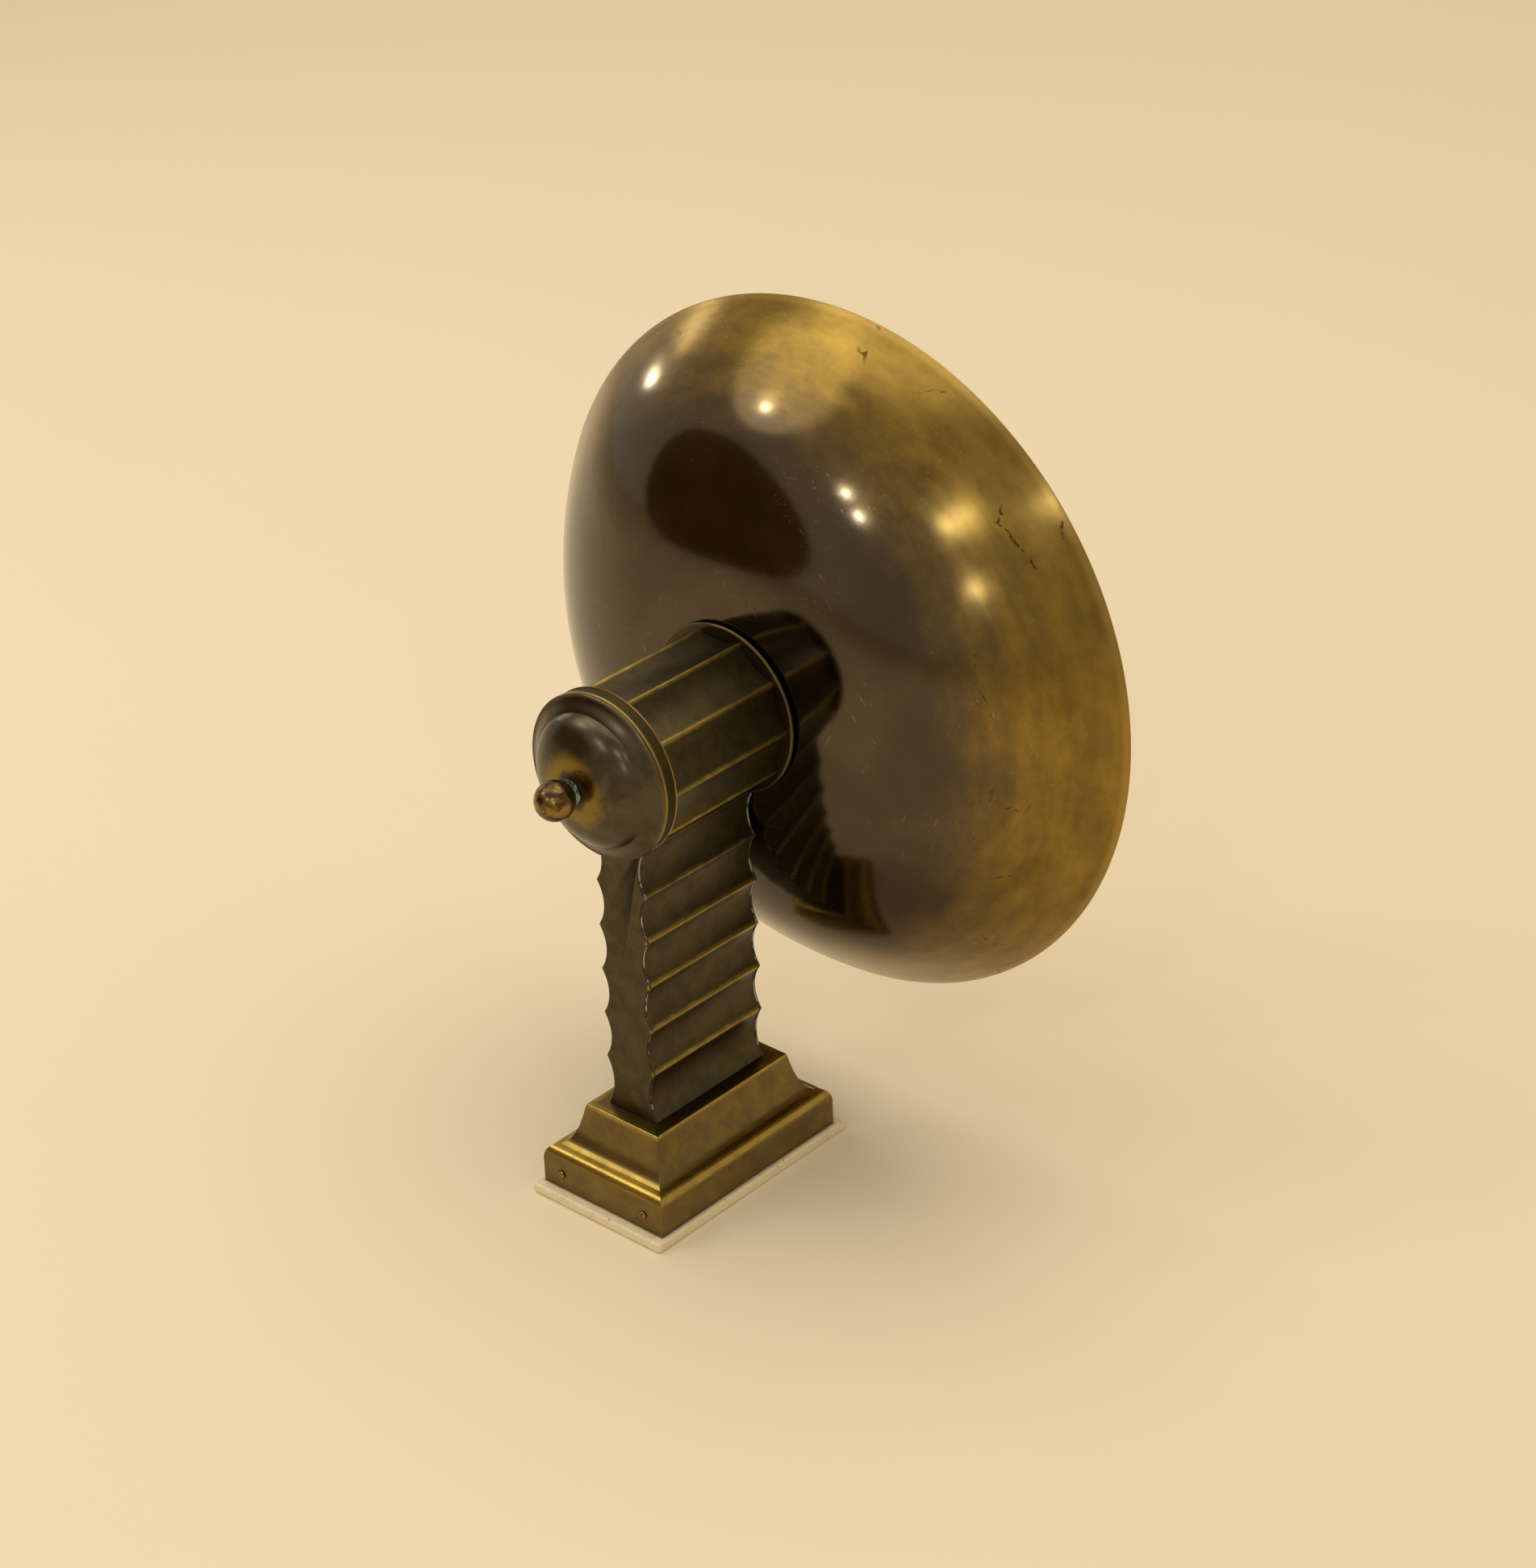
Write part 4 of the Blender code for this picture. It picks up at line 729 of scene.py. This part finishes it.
# %% The two fluted sides
def fluted_side(name, side, node):
    half = COLUMN_WIDTH / 2
    depth = COLUMN_DEPTH - 2 * (SHEET + GAP)
    start = (side * half, -depth / 2, FOOT)
    panel = put_pen(name, start)
    draw([start, (side * half, depth / 2, FOOT)])
    pick("SELECT")
    for low, high in zip(heights, heights[1:]):
        radius, half_angle = arc_through(high - low, FLUTE_DEPTH)
        centre = (side * (half - FLUTE_DEPTH + radius), 0, (low + high) / 2)
        spin_arc(centre, -side * 2 * half_angle)
    close_up()
    if (panel.data.polygons[0].normal.x > 0) != (side > 0):
        panel.data.flip_normals()
    apply(panel, "BEVEL", width=0.0007, segments=4, limit_method="ANGLE", angle_limit=radians(25))
    apply(panel, "SOLIDIFY", thickness=SHEET, offset=-1, use_even_offset=True)
    cope(panel)
    complete(panel, "frame", [node], column_brass, 40)


fluted_side("column_side_right", 1, "column_panel_right")
fluted_side("column_side_left", -1, "column_panel_left")


# %% The two scalloped plates
def scalloped_line(side):
    """Points up one side of the column, on its flutes."""
    half = COLUMN_WIDTH / 2
    line = []
    for low, high in zip(heights, heights[1:]):
        radius, half_angle = arc_through(high - low, FLUTE_DEPTH)
        centre_x, centre_z = half - FLUTE_DEPTH + radius, (low + high) / 2
        for i in range(14):
            angle = half_angle * (i / 7 - 1)
            line.append((side * (centre_x - radius * cos(angle)), centre_z + radius * sin(angle)))
    return line + [(side * half, heights[-1])]


def scalloped_plate(name, end, node):
    outline = scalloped_line(1) + scalloped_line(-1)[::-1]
    y = end * COLUMN_DEPTH / 2
    points = [(x, y, z) for x, z in outline]
    plate = put_pen(name, points[0])
    draw(points)
    pick("SELECT")
    bpy.ops.mesh.edge_face_add()
    bpy.ops.mesh.extrude_region_move(TRANSFORM_OT_translate={"value": (0, -end * SHEET, 0)})
    close_up()
    cope(plate)
    soften(plate, 0.00025, 2, 50)
    complete(plate, "frame", [node], column_brass, 40)


scalloped_plate("column_front", 1, "column_plate_front")
scalloped_plate("column_rear", -1, "column_plate_rear")

# %% [markdown]
# ## Solder in the corners
#
# The four corners of the column were run with soft solder, which shows as a thin pale grey
# line, whole in some places and gone in others. The line follows the scallops, so it is
# drawn with the pen along them, turned into a curve and given a thin round section.

# %% Soft solder
solder = Finish("soft_solder")
spot = solder.place()
broken = solder.noise(spot, 0.009, 3, 0.6)
grey = solder.mix(solder.noise(spot, 0.0015, 2), (0.22, 0.21, 0.20), (0.56, 0.55, 0.53))
solder.set(Base_Color=solder.mix(solder.step(broken, 0.47, 0.57), (0.055, 0.045, 0.035), grey),
           Metallic=0.6, Roughness=0.5)
print("solder finish ready")


# %% Run a line of solder up each corner
def solder_line(name, side, end):
    y = end * (COLUMN_DEPTH / 2 - SHEET - 0.0001)
    limit = AXIS - BARREL_RADIUS + 0.0005
    points = [(x + side * 0.00005, y, z) for x, z in scalloped_line(side) if z < limit]
    seam = put_pen(name, points[0])
    draw(points)
    mode("OBJECT")
    work_on(seam)
    bpy.ops.object.convert(target="CURVE")
    seam.data.bevel_depth = 0.00045
    seam.data.bevel_resolution = 2
    seam.data.use_fill_caps = True
    bpy.ops.object.convert(target="MESH")
    mode("EDIT")
    close_up()
    complete(bpy.context.object, "frame", [], solder)


for side, side_name in ((-1, "left"), (1, "right")):
    for end, end_name in ((-1, "rear"), (1, "front")):
        solder_line(f"solder_{side_name}_{end_name}", side, end)

# %% [markdown]
# ## The barrel
#
# Ten flutes run along the barrel. Its sheet is the same spun outline that coped the column,
# rounded along the ridges and given a thickness. A plain band with two fine lips closes the
# rear end, and a flat flange with a round edge takes the dish at the front.

# %% Barrel shell
shell_low, shell_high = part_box("barrel_shell")
barrel = fluted_tube("barrel", BARREL_RADIUS, shell_low.y, shell_high.y)
close_up()
middle_face = barrel.data.polygons[len(barrel.data.polygons) // 2]
outward = Vector((middle_face.center.x, 0, middle_face.center.z - AXIS))
if middle_face.normal.dot(outward) < 0:
    barrel.data.flip_normals()
apply(barrel, "BEVEL", width=0.0008, segments=4, limit_method="ANGLE", angle_limit=radians(25))
apply(barrel, "SOLIDIFY", thickness=SHEET, offset=-1, use_even_offset=True)
drill(barrel, TUBE_HOLE, 0.02, (0, 0, AXIS - 0.041))
complete(barrel, "frame", ["barrel_shell"], barrel_brass, 40)

# %% Rear band
band_front = shell_low.y - GAP
band_rear = band_low.y
BAND_HOLE, BAND_BORE, BAND_FACE, BAND_LIP = 0.0410, 0.0459, 0.0474, 0.0480
band_line = [(BAND_HOLE, band_front), (BAND_FACE, band_front), (BAND_LIP, band_front - 0.0003),
             (BAND_LIP, band_front - 0.0009), (BAND_FACE, band_front - 0.0012),
             (BAND_FACE, band_rear + 0.0024), (BAND_FACE + 0.0003, band_rear + 0.0021)]
band_line += arc_line((BARREL_RADIUS, band_rear + 0.0010), (0.0007, 0.0010), 80, -80, 8)
band_line += [(BAND_BORE, band_rear), (BAND_BORE, band_front - 0.002), (BAND_HOLE, band_front - 0.002),
              (BAND_HOLE, band_front)]
band = lathe("rear_band", band_line, 160)
band_brass = patinated("band_brass", (0.30, 0.215, 0.070), (0.21, 0.150, 0.055), (0.36, 0.255, 0.075))
flange_brass = patinated("flange_brass", (0.085, 0.062, 0.028), (0.058, 0.045, 0.028), (0.15, 0.108, 0.042))
complete(band, "frame", ["barrel_rear_band"], band_brass)

# %% Flange
flange_low, flange_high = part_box("flange_plate")
thick = flange_high.y - flange_low.y
edge_radius = thick / 2
flange_radius = flange_high.x
DISH_HOLE = 0.023
flange_line = [(DISH_HOLE, flange_low.y), (flange_radius - 2.4 * edge_radius, flange_low.y)]
flange_line += arc_line((flange_radius - edge_radius, flange_low.y + edge_radius),
                        (edge_radius, edge_radius), -100, 90, 12)
flange_line += [(DISH_HOLE, flange_high.y), (DISH_HOLE, flange_low.y)]
flange = lathe("flange", flange_line, 160)
CLAMP_CIRCLE = 0.034
CLAMP_SCREWS = [(CLAMP_CIRCLE * cos(pi / 2 * i), AXIS + CLAMP_CIRCLE * sin(pi / 2 * i)) for i in range(4)]


def drill_for_clamp_screws(piece, y):
    for x, z in CLAMP_SCREWS:
        drill(piece, 0.0023, 0.02, (x, y, z), (pi / 2, 0, 0), 15)


drill_for_clamp_screws(flange, flange_low.y)
complete(flange, "frame", ["flange_plate"], flange_brass)

# %% [markdown]
# ## Cap, collar and ball
#
# The cap was spun over a wooden form: a thin rim, a hollow cove and a full dome. Its profile
# is drawn once and spun. The ball screws on to the rod that holds the cap, and the green of
# old brass has formed under it, where damp stays longest.

# %% Cap profile
cap_low, cap_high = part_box("rear_cap")
cap_seat = band_rear - GAP
cap_top = cap_low.y
rim, dome_radius, cap_skirt = 0.0482, 0.039, 0.0456
ROD_HOLE = 0.0033
dome = ((dome_radius, cap_seat - 0.0065), (0.92 * dome_radius, cap_seat - 0.0151),
        (0.54 * dome_radius, cap_top + 0.0003), (0.0075, cap_top))
cap_line = [(rim - 0.0003, cap_seat), (rim, cap_seat - 0.0003), (rim, cap_seat - 0.0014),
            (rim - 0.0004, cap_seat - 0.0019)]
cap_line += curve_line((rim - 0.0012, cap_seat - 0.0020), (rim - 0.0040, cap_seat - 0.0025),
                       (dome_radius + 0.0025, cap_seat - 0.0055), dome[0], 16)
cap_line += curve_line(*dome, 36)[1:]
cap_line += [(ROD_HOLE, cap_top), (ROD_HOLE, cap_top + SHEET)]
cap_line += [(radius - SHEET / 2, y + SHEET) for radius, y in curve_line(*dome, 12)[::-1]]
cap_line += [(cap_skirt - SHEET, cap_seat + SHEET), (cap_skirt - SHEET, cap_seat + 0.006),
             (cap_skirt, cap_seat + 0.006), (cap_skirt, cap_seat), (rim - 0.0003, cap_seat)]
cap = lathe("cap", cap_line, 192)
print("cap from y", round(cap_seat, 4), "to", round(cap_top, 4))

# %% Cap finish: gold rubbed round the ball, dark towards the rim
cap_brass = Finish("cap_brass")
spot = cap_brass.place((0, 0, AXIS))
x, y, z = cap_brass.axes(spot)
radius = (x * x + z * z) ** 0.5
clouds = cap_brass.noise(spot, 0.014, 4, 0.6, 0.5)
grain = cap_brass.noise(spot, 0.0010, 3, 0.7)
specks = cap_brass.noise(spot, 0.0016, 2, 0.6)
gold_ring = cap_brass.step(radius + (clouds - 0.5) * 0.016 + (grain - 0.5) * 0.004, 0.015, 0.025, 1, 0)
cap_colour = cap_brass.mix(cap_brass.step(clouds, 0.35, 0.7), (0.092, 0.078, 0.050),
                           (0.062, 0.048, 0.032))
cap_colour = cap_brass.mix(gold_ring, cap_colour, (0.215, 0.148, 0.032))
cap_colour = cap_brass.mix(cap_brass.step(specks, 0.68, 0.74) * gold_ring * 0.7, cap_colour,
                           (0.06, 0.04, 0.02))
verdigris = cap_brass.step(radius + (clouds - 0.5) * 0.008, 0.0085, 0.0125, 1, 0)
cap_colour = cap_brass.mix(verdigris * 0.75, cap_colour, (0.045, 0.060, 0.045))
edge_rub = cap_brass.step(cap_brass.attribute("edge") + (grain - 0.5) * 0.5, 0.45, 1.0)
cap_colour = cap_brass.mix(edge_rub * 0.2, cap_colour, (0.25, 0.17, 0.05))
cap_brass.set(Base_Color=cap_colour, Metallic=1.0, Roughness=0.26 + (grain - 0.5) * 0.08 + verdigris * 0.3)
cap_brass.bump(grain, 0.00004, 0.3)
complete(cap, "cap", ["rear_cap"], cap_brass)

# %% Collar
collar_low, collar_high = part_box("cap_collar")
front, rear = collar_high.y, collar_low.y
collar = lathe("collar", [(ROD_HOLE, front), (0.0062, front), (0.0072, front - 0.0003),
                          (0.0075, front - 0.0008), (0.0070, front - 0.0013), (0.0062, front - 0.0016),
                          (0.0060, rear), (ROD_HOLE, rear), (ROD_HOLE, front)], 96)
green_brass = Finish("green_brass")
spot = green_brass.place()
bloom = green_brass.noise(spot, 0.0028, 4, 0.65)
green = green_brass.mix(green_brass.step(bloom, 0.42, 0.62), (0.050, 0.055, 0.040), (0.30, 0.38, 0.32))
green_brass.set(Base_Color=green, Metallic=green_brass.step(bloom, 0.42, 0.62, 0.8, 0.1), Roughness=0.55)
green_brass.bump(bloom, 0.0002, 0.6)
complete(collar, "cap", ["cap_collar"], green_brass)

# %% Ball
ball_low, ball_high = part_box("finial")
BALL_RADIUS, BALL_NECK = 0.0113, 0.00525
ball_centre = ball_low.y + BALL_RADIUS
neck_angle = 90 - degrees(asin(BALL_NECK / BALL_RADIUS))
ball_line = arc_line((0, ball_centre), (BALL_RADIUS, BALL_RADIUS), neck_angle, -90, 40)
ball_line[-1] = (0, ball_centre - BALL_RADIUS)
rod_end = ball_centre + 0.0017
ball_line = [(0, rod_end), (ROD_HOLE, rod_end), (ROD_HOLE, ball_line[0][1])] + ball_line
ball = lathe("ball", ball_line, 96)
ball_brass = Finish("ball_brass")
spot = ball_brass.place()
clouds = ball_brass.noise(spot, 0.009, 5, 0.6, 0.8)
grain = ball_brass.noise(spot, 0.0009, 3, 0.7)
ball_colour = ball_brass.mix(ball_brass.step(clouds, 0.44, 0.60), (0.085, 0.050, 0.028),
                             (0.27, 0.170, 0.040))
ball_colour = ball_brass.mix(ball_brass.step(grain, 0.66, 0.76) * 0.7, ball_colour, (0.05, 0.03, 0.015))
ball_brass.set(Base_Color=ball_colour, Metallic=1.0, Roughness=0.24 + (grain - 0.5) * 0.1)
complete(ball, "finial", ["finial"], ball_brass)

# %% [markdown]
# ## The dish
#
# The dish is one disc of brass, spun on a lathe over a form. Its depth grows with a power of
# the radius, so it is nearly flat behind the bulb and steep at the rim. Both faces and the
# rounded lip are one closed profile, offset by the sheet's thickness.

# %% Dish profile
DISH_DEPTH, DISH_CURVE = 0.0907, 3.1


def dish_point(radius, inside):
    """A point on the dish's back, or on its inside, at a radius."""
    height = DISH_DEPTH * (radius / DISH_RADIUS) ** DISH_CURVE
    slope = DISH_CURVE * height / radius
    length = hypot(1, slope)
    return (radius - inside * SHEET * slope / length, DISH_BACK + height + inside * SHEET / length)


radii = [DISH_HOLE + (DISH_RADIUS - DISH_HOLE) * i / 60 for i in range(61)]
outside = [dish_point(radius, 0) for radius in radii]
inside = [dish_point(radius, 1) for radius in radii]
slope = atan2(outside[-1][1] - outside[-2][1], outside[-1][0] - outside[-2][0])
lip_centre = dish_point(DISH_RADIUS, 0.5)
lip_radius = 0.9 * SHEET / 2
lip_turns = [slope - pi / 2 + pi * i / 6 for i in range(1, 6)]
lip_line = [(lip_centre[0] + lip_radius * cos(turn), lip_centre[1] + lip_radius * sin(turn))
            for turn in lip_turns]
dish_line = outside + lip_line + inside[::-1] + [outside[0]]
dish = lathe("dish_fine", dish_line, 224)
drill_for_clamp_screws(dish, DISH_BACK + 0.0005)
print("dish lip at", [round(c, 4) for c in lip_centre])

# %% [markdown]
# The finish of the dish is the lamp's showpiece. Over the middle the brown patina is whole
# and glossy. Towards the rim it has worn through to gold, most at the top and on the side
# that hands reach, in bands that follow the spinning. Small dark cracks, specks and hairline
# scratches sit on the gold. A radius, worked out from the coordinates, drives all of it.

# %% Dish finish
bronze = Finish("dish_bronze")
spot = bronze.place((0, 0, AXIS))
x, y, z = bronze.axes(spot)
radius = (x * x + z * z) ** 0.5
reach = (x * 0.90 + z * 0.25) / (radius + 0.001)
spun = bronze.node("ShaderNodeCombineXYZ", None, {0: x / (radius + 0.01) * 0.05, 1: radius,
                                                  2: z / (radius + 0.01) * 0.05})
clouds = bronze.noise(spot, 0.075, 4, 0.55, 0.6)
fine_clouds = bronze.noise(spot, 0.018, 5, 0.65)
bands = bronze.noise(spun, 0.010, 3, 0.6)
grain = bronze.noise(spot, 0.0012, 2, 0.6)
wear = radius + reach * 0.020 + (clouds - 0.5) * 0.030 + (bands - 0.5) * 0.018
wear = wear + (fine_clouds - 0.5) * 0.008
GOLD_START, GOLD_FULL = 0.146, 0.202
gold_mask = bronze.step(wear, GOLD_START, GOLD_FULL)
patina = bronze.mix(bronze.step(clouds, 0.35, 0.65), (0.078, 0.060, 0.043), (0.098, 0.076, 0.054))
gold = bronze.mix(bronze.step(bands * 0.6 + fine_clouds * 0.4, 0.28, 0.72), (0.165, 0.105, 0.026),
                  (0.30, 0.195, 0.042))
dish_colour = bronze.mix(gold_mask, patina, gold)
rim_gold = bronze.step(radius, 0.2045, 0.2070)
dish_colour = bronze.mix(rim_gold * 0.5, dish_colour, (0.42, 0.28, 0.08))
print("gold grows from radius", GOLD_START, "to", GOLD_FULL)

# %% Cracks, specks and scratches on the gold
bent = bronze.node("ShaderNodeVectorMath", {"operation": "ADD"}, {
    0: spot, 1: bronze.node("ShaderNodeVectorMath", {"operation": "SCALE"}, {
        0: bronze.node("ShaderNodeTexNoise", None, {"Vector": spot, "Scale": 160.0}, output="Color"),
        "Scale": 0.006})})
cells = bronze.node("ShaderNodeTexVoronoi", {"feature": "DISTANCE_TO_EDGE"},
                    {"Vector": bent, "Scale": 16.0}, output="Distance")
dashes = bronze.step(bronze.noise(spot, 0.0035, 2), 0.46, 0.54)
patchy = bronze.step(bronze.noise(spot, 0.045, 2), 0.56, 0.62)
cracks = bronze.step(cells, 0.006, 0.014, 1, 0) * dashes * patchy * gold_mask
dots = bronze.step(bronze.noise(spot, 0.0024, 2, 0.6), 0.755, 0.79)
spots = dots * bronze.step(fine_clouds, 0.48, 0.58) * bronze.step(gold_mask, 0.2, 0.7)
dish_colour = bronze.mix(cracks * 0.85, dish_colour, (0.035, 0.020, 0.010))
dish_colour = bronze.mix(spots * 0.8, dish_colour, (0.06, 0.035, 0.015))
scratches = 0.0
for turn, size in ((0.4, 0.0011), (-0.7, 0.0013), (1.5, 0.0010)):
    hair = bronze.noise(bronze.place((0, 0, AXIS), (1, 1, 45), (0, turn, 0)), size, 1, 0.4)
    scratches = scratches + bronze.step(hair, 0.735, 0.775)
scratches = scratches * bronze.step(clouds, 0.40, 0.60)
dish_colour = bronze.mix(scratches * 0.22, dish_colour, (0.62, 0.50, 0.30))
print("scratches drawn in three directions")

# %% Inside of the dish, gloss and the last links
inner = bronze.axes(bronze.node("ShaderNodeTexCoord", output="Normal"))[1]
inner = bronze.step(inner, -0.05, 0.05)
bright = bronze.mix(fine_clouds, (0.70, 0.50, 0.20), (0.80, 0.60, 0.27))
dish_colour = bronze.mix(inner, dish_colour, bright)
bronze.set(Base_Color=dish_colour, Metallic=1.0,
           Roughness=0.11 + gold_mask * 0.11 + (grain - 0.5) * 0.05 + scratches * 0.10 + inner * 0.10)
bronze.bump(grain * 0.5 + scratches * 0.5, 0.00003, 0.25)
complete(dish, "frame", ["dish"], bronze, 35)

# %% [markdown]
# ## Bulb and the parts inside the dish
#
# A small pearl bulb stands in the middle of the dish, where the wall hides it from most
# views. Its glass is a lathe profile with a real thickness. The parts round it keep their
# engineering solids and only get better finishes.

# %% Pearl glass bulb
glass_low, glass_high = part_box("bulb_glass")
cap_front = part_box("bulb_cap")[1].y
BULB_RADIUS, GLASS_WALL, GLASS_TUCK = glass_high.x, 0.0006, 0.003
globe_centre = glass_high.y - BULB_RADIUS
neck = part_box("bulb_cap")[1].x - 0.0004 - GLASS_WALL


def bulb_line(inset):
    """The bulb's outline from its crown to its neck, set in by a distance."""
    globe = arc_line((0, globe_centre), (BULB_RADIUS - inset, BULB_RADIUS - inset), 90, -30, 30)
    globe[0] = (0, glass_high.y - inset)
    thin_neck = neck - inset
    taper = curve_line(globe[-1], (0.66 * BULB_RADIUS - inset, globe_centre - 0.87 * BULB_RADIUS),
                       (1.08 * thin_neck, cap_front + neck), (thin_neck, cap_front), 16)
    return globe + taper[1:] + [(thin_neck, cap_front - GLASS_TUCK)]


pearl = Finish("pearl_glass")
pearl.set(Base_Color=(0.90, 0.89, 0.86), Roughness=0.42, IOR=1.5, Transmission_Weight=0.75,
          Subsurface_Weight=0.15)
bulb = lathe("bulb", bulb_line(0) + bulb_line(GLASS_WALL)[::-1], 96)
complete(bulb, "bulb", ["bulb_glass"], pearl, 40)

# %% Clamp ring behind the bulb
ring_low, ring_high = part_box("dish_clamp_ring")
ring_edge = 0.0004
ring_radius = ring_high.x
ring_line = [(DISH_HOLE, ring_low.y), (ring_radius, ring_low.y), (ring_radius, ring_high.y - ring_edge),
             (ring_radius - ring_edge, ring_high.y), (DISH_HOLE + ring_edge, ring_high.y),
             (DISH_HOLE, ring_high.y - ring_edge), (DISH_HOLE, ring_low.y)]
clamp = lathe("clamp_ring", ring_line, 160)
drill_for_clamp_screws(clamp, ring_low.y)
plain_brass = patinated("plain_brass", (0.46, 0.32, 0.12), (0.34, 0.23, 0.09), (0.70, 0.50, 0.20), None,
                        (0.30, 0.24))
complete(clamp, "frame", ["dish_clamp_ring"], plain_brass)

# %% Four screws through the clamp ring
screw_low, screw_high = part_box("dish_screw_1")
seat = ring_high.y + GAP
shank_radius = 0.002
model = screw_model((screw_high.z - screw_low.z) / 2, screw_high.y - seat, shank_radius, seat - screw_low.y)
for number, (x, z) in enumerate(CLAMP_SCREWS, 1):
    set_screw(model, f"dish_screw_{number}", (x, seat, z), -pi / 2, radians(40 * number),
              plain_brass)
bpy.data.objects.remove(model, do_unlink=True)

# %% [markdown]
# ## Finishes for the solids that stay
#
# The steel bracket, the tie rod, the porcelain block and the wires are hidden in use, but an
# opened lamp shows them. Each keeps its engineering shape and takes a finish with some life
# in it: brushed and spotted steel, glazed porcelain, dusty rubber and enamelled wire.

# %% Steel
steel = Finish("steel")
spot = steel.place()
brushed = steel.noise(steel.place(stretch=(1, 9, 1)), 0.0012, 3, 0.6)
rust = steel.step(steel.noise(spot, 0.010, 4, 0.65), 0.60, 0.72)
steel_colour = steel.mix(brushed, (0.38, 0.37, 0.35), (0.52, 0.51, 0.49))
steel.set(Base_Color=steel.mix(rust * 0.8, steel_colour, (0.13, 0.065, 0.03)), Metallic=1 - rust * 0.7,
          Roughness=0.32 + brushed * 0.12 + rust * 0.3)
print("steel finish ready")

# %% Porcelain, rubber, wire enamel and the bulb's inner parts
porcelain = Finish("porcelain")
speck = porcelain.step(porcelain.noise(porcelain.place(), 0.0013, 2), 0.72, 0.76)
porcelain.set(Base_Color=porcelain.mix(speck * 0.4, (0.84, 0.82, 0.76), (0.35, 0.28, 0.20)),
              Roughness=0.16, Coat_Weight=0.5)
rubber = Finish("rubber")
dust = rubber.noise(rubber.place(), 0.004, 4, 0.6)
rubber.set(Base_Color=rubber.mix(dust, (0.018, 0.017, 0.016), (0.060, 0.056, 0.050)), Roughness=0.72)


def enamel(name, colour):
    """The smooth insulation of a wire, a little cloudy."""
    skin = Finish(name)
    cloud = skin.noise(skin.place(), 0.003, 3)
    skin.set(Base_Color=skin.mix(cloud, tuple(0.75 * c for c in colour), colour), Roughness=0.38)
    return skin


brown_wire = enamel("insulation_brown", (0.16, 0.065, 0.025))
blue_wire = enamel("insulation_blue", (0.03, 0.11, 0.34))
black_glass = Finish("black_glass")
black_glass.set(Base_Color=black_glass.mix(black_glass.noise(black_glass.place(), 0.002),
                                           (0.01, 0.01, 0.01), (0.03, 0.026, 0.03)), Roughness=0.12)
tungsten = Finish("tungsten")
tungsten.set(Base_Color=tungsten.mix(tungsten.noise(tungsten.place(), 0.0008), (0.25, 0.24, 0.23),
                                     (0.40, 0.39, 0.37)), Metallic=1.0, Roughness=0.35)
print("finishes for the hidden solids ready")

# %% Give every node that still shows its finish
SLOT_FINISH = {"steel": steel, "plain_brass": plain_brass, "porcelain": porcelain, "rubber": rubber,
               "insulation_brown": brown_wire, "insulation_blue": blue_wire, "pearl_glass": pearl,
               "black_glass": black_glass, "tungsten": tungsten, "rubbed_brass": plinth_brass,
               "dark_brass": barrel_brass, "dish_bronze": bronze, "board_paint": paint}
for part in frame["record"]["subparts"]:
    node = frame["nodes"][part["node"]]
    node.material_slots[0].material = SLOT_FINISH[part["material_slot"]].material
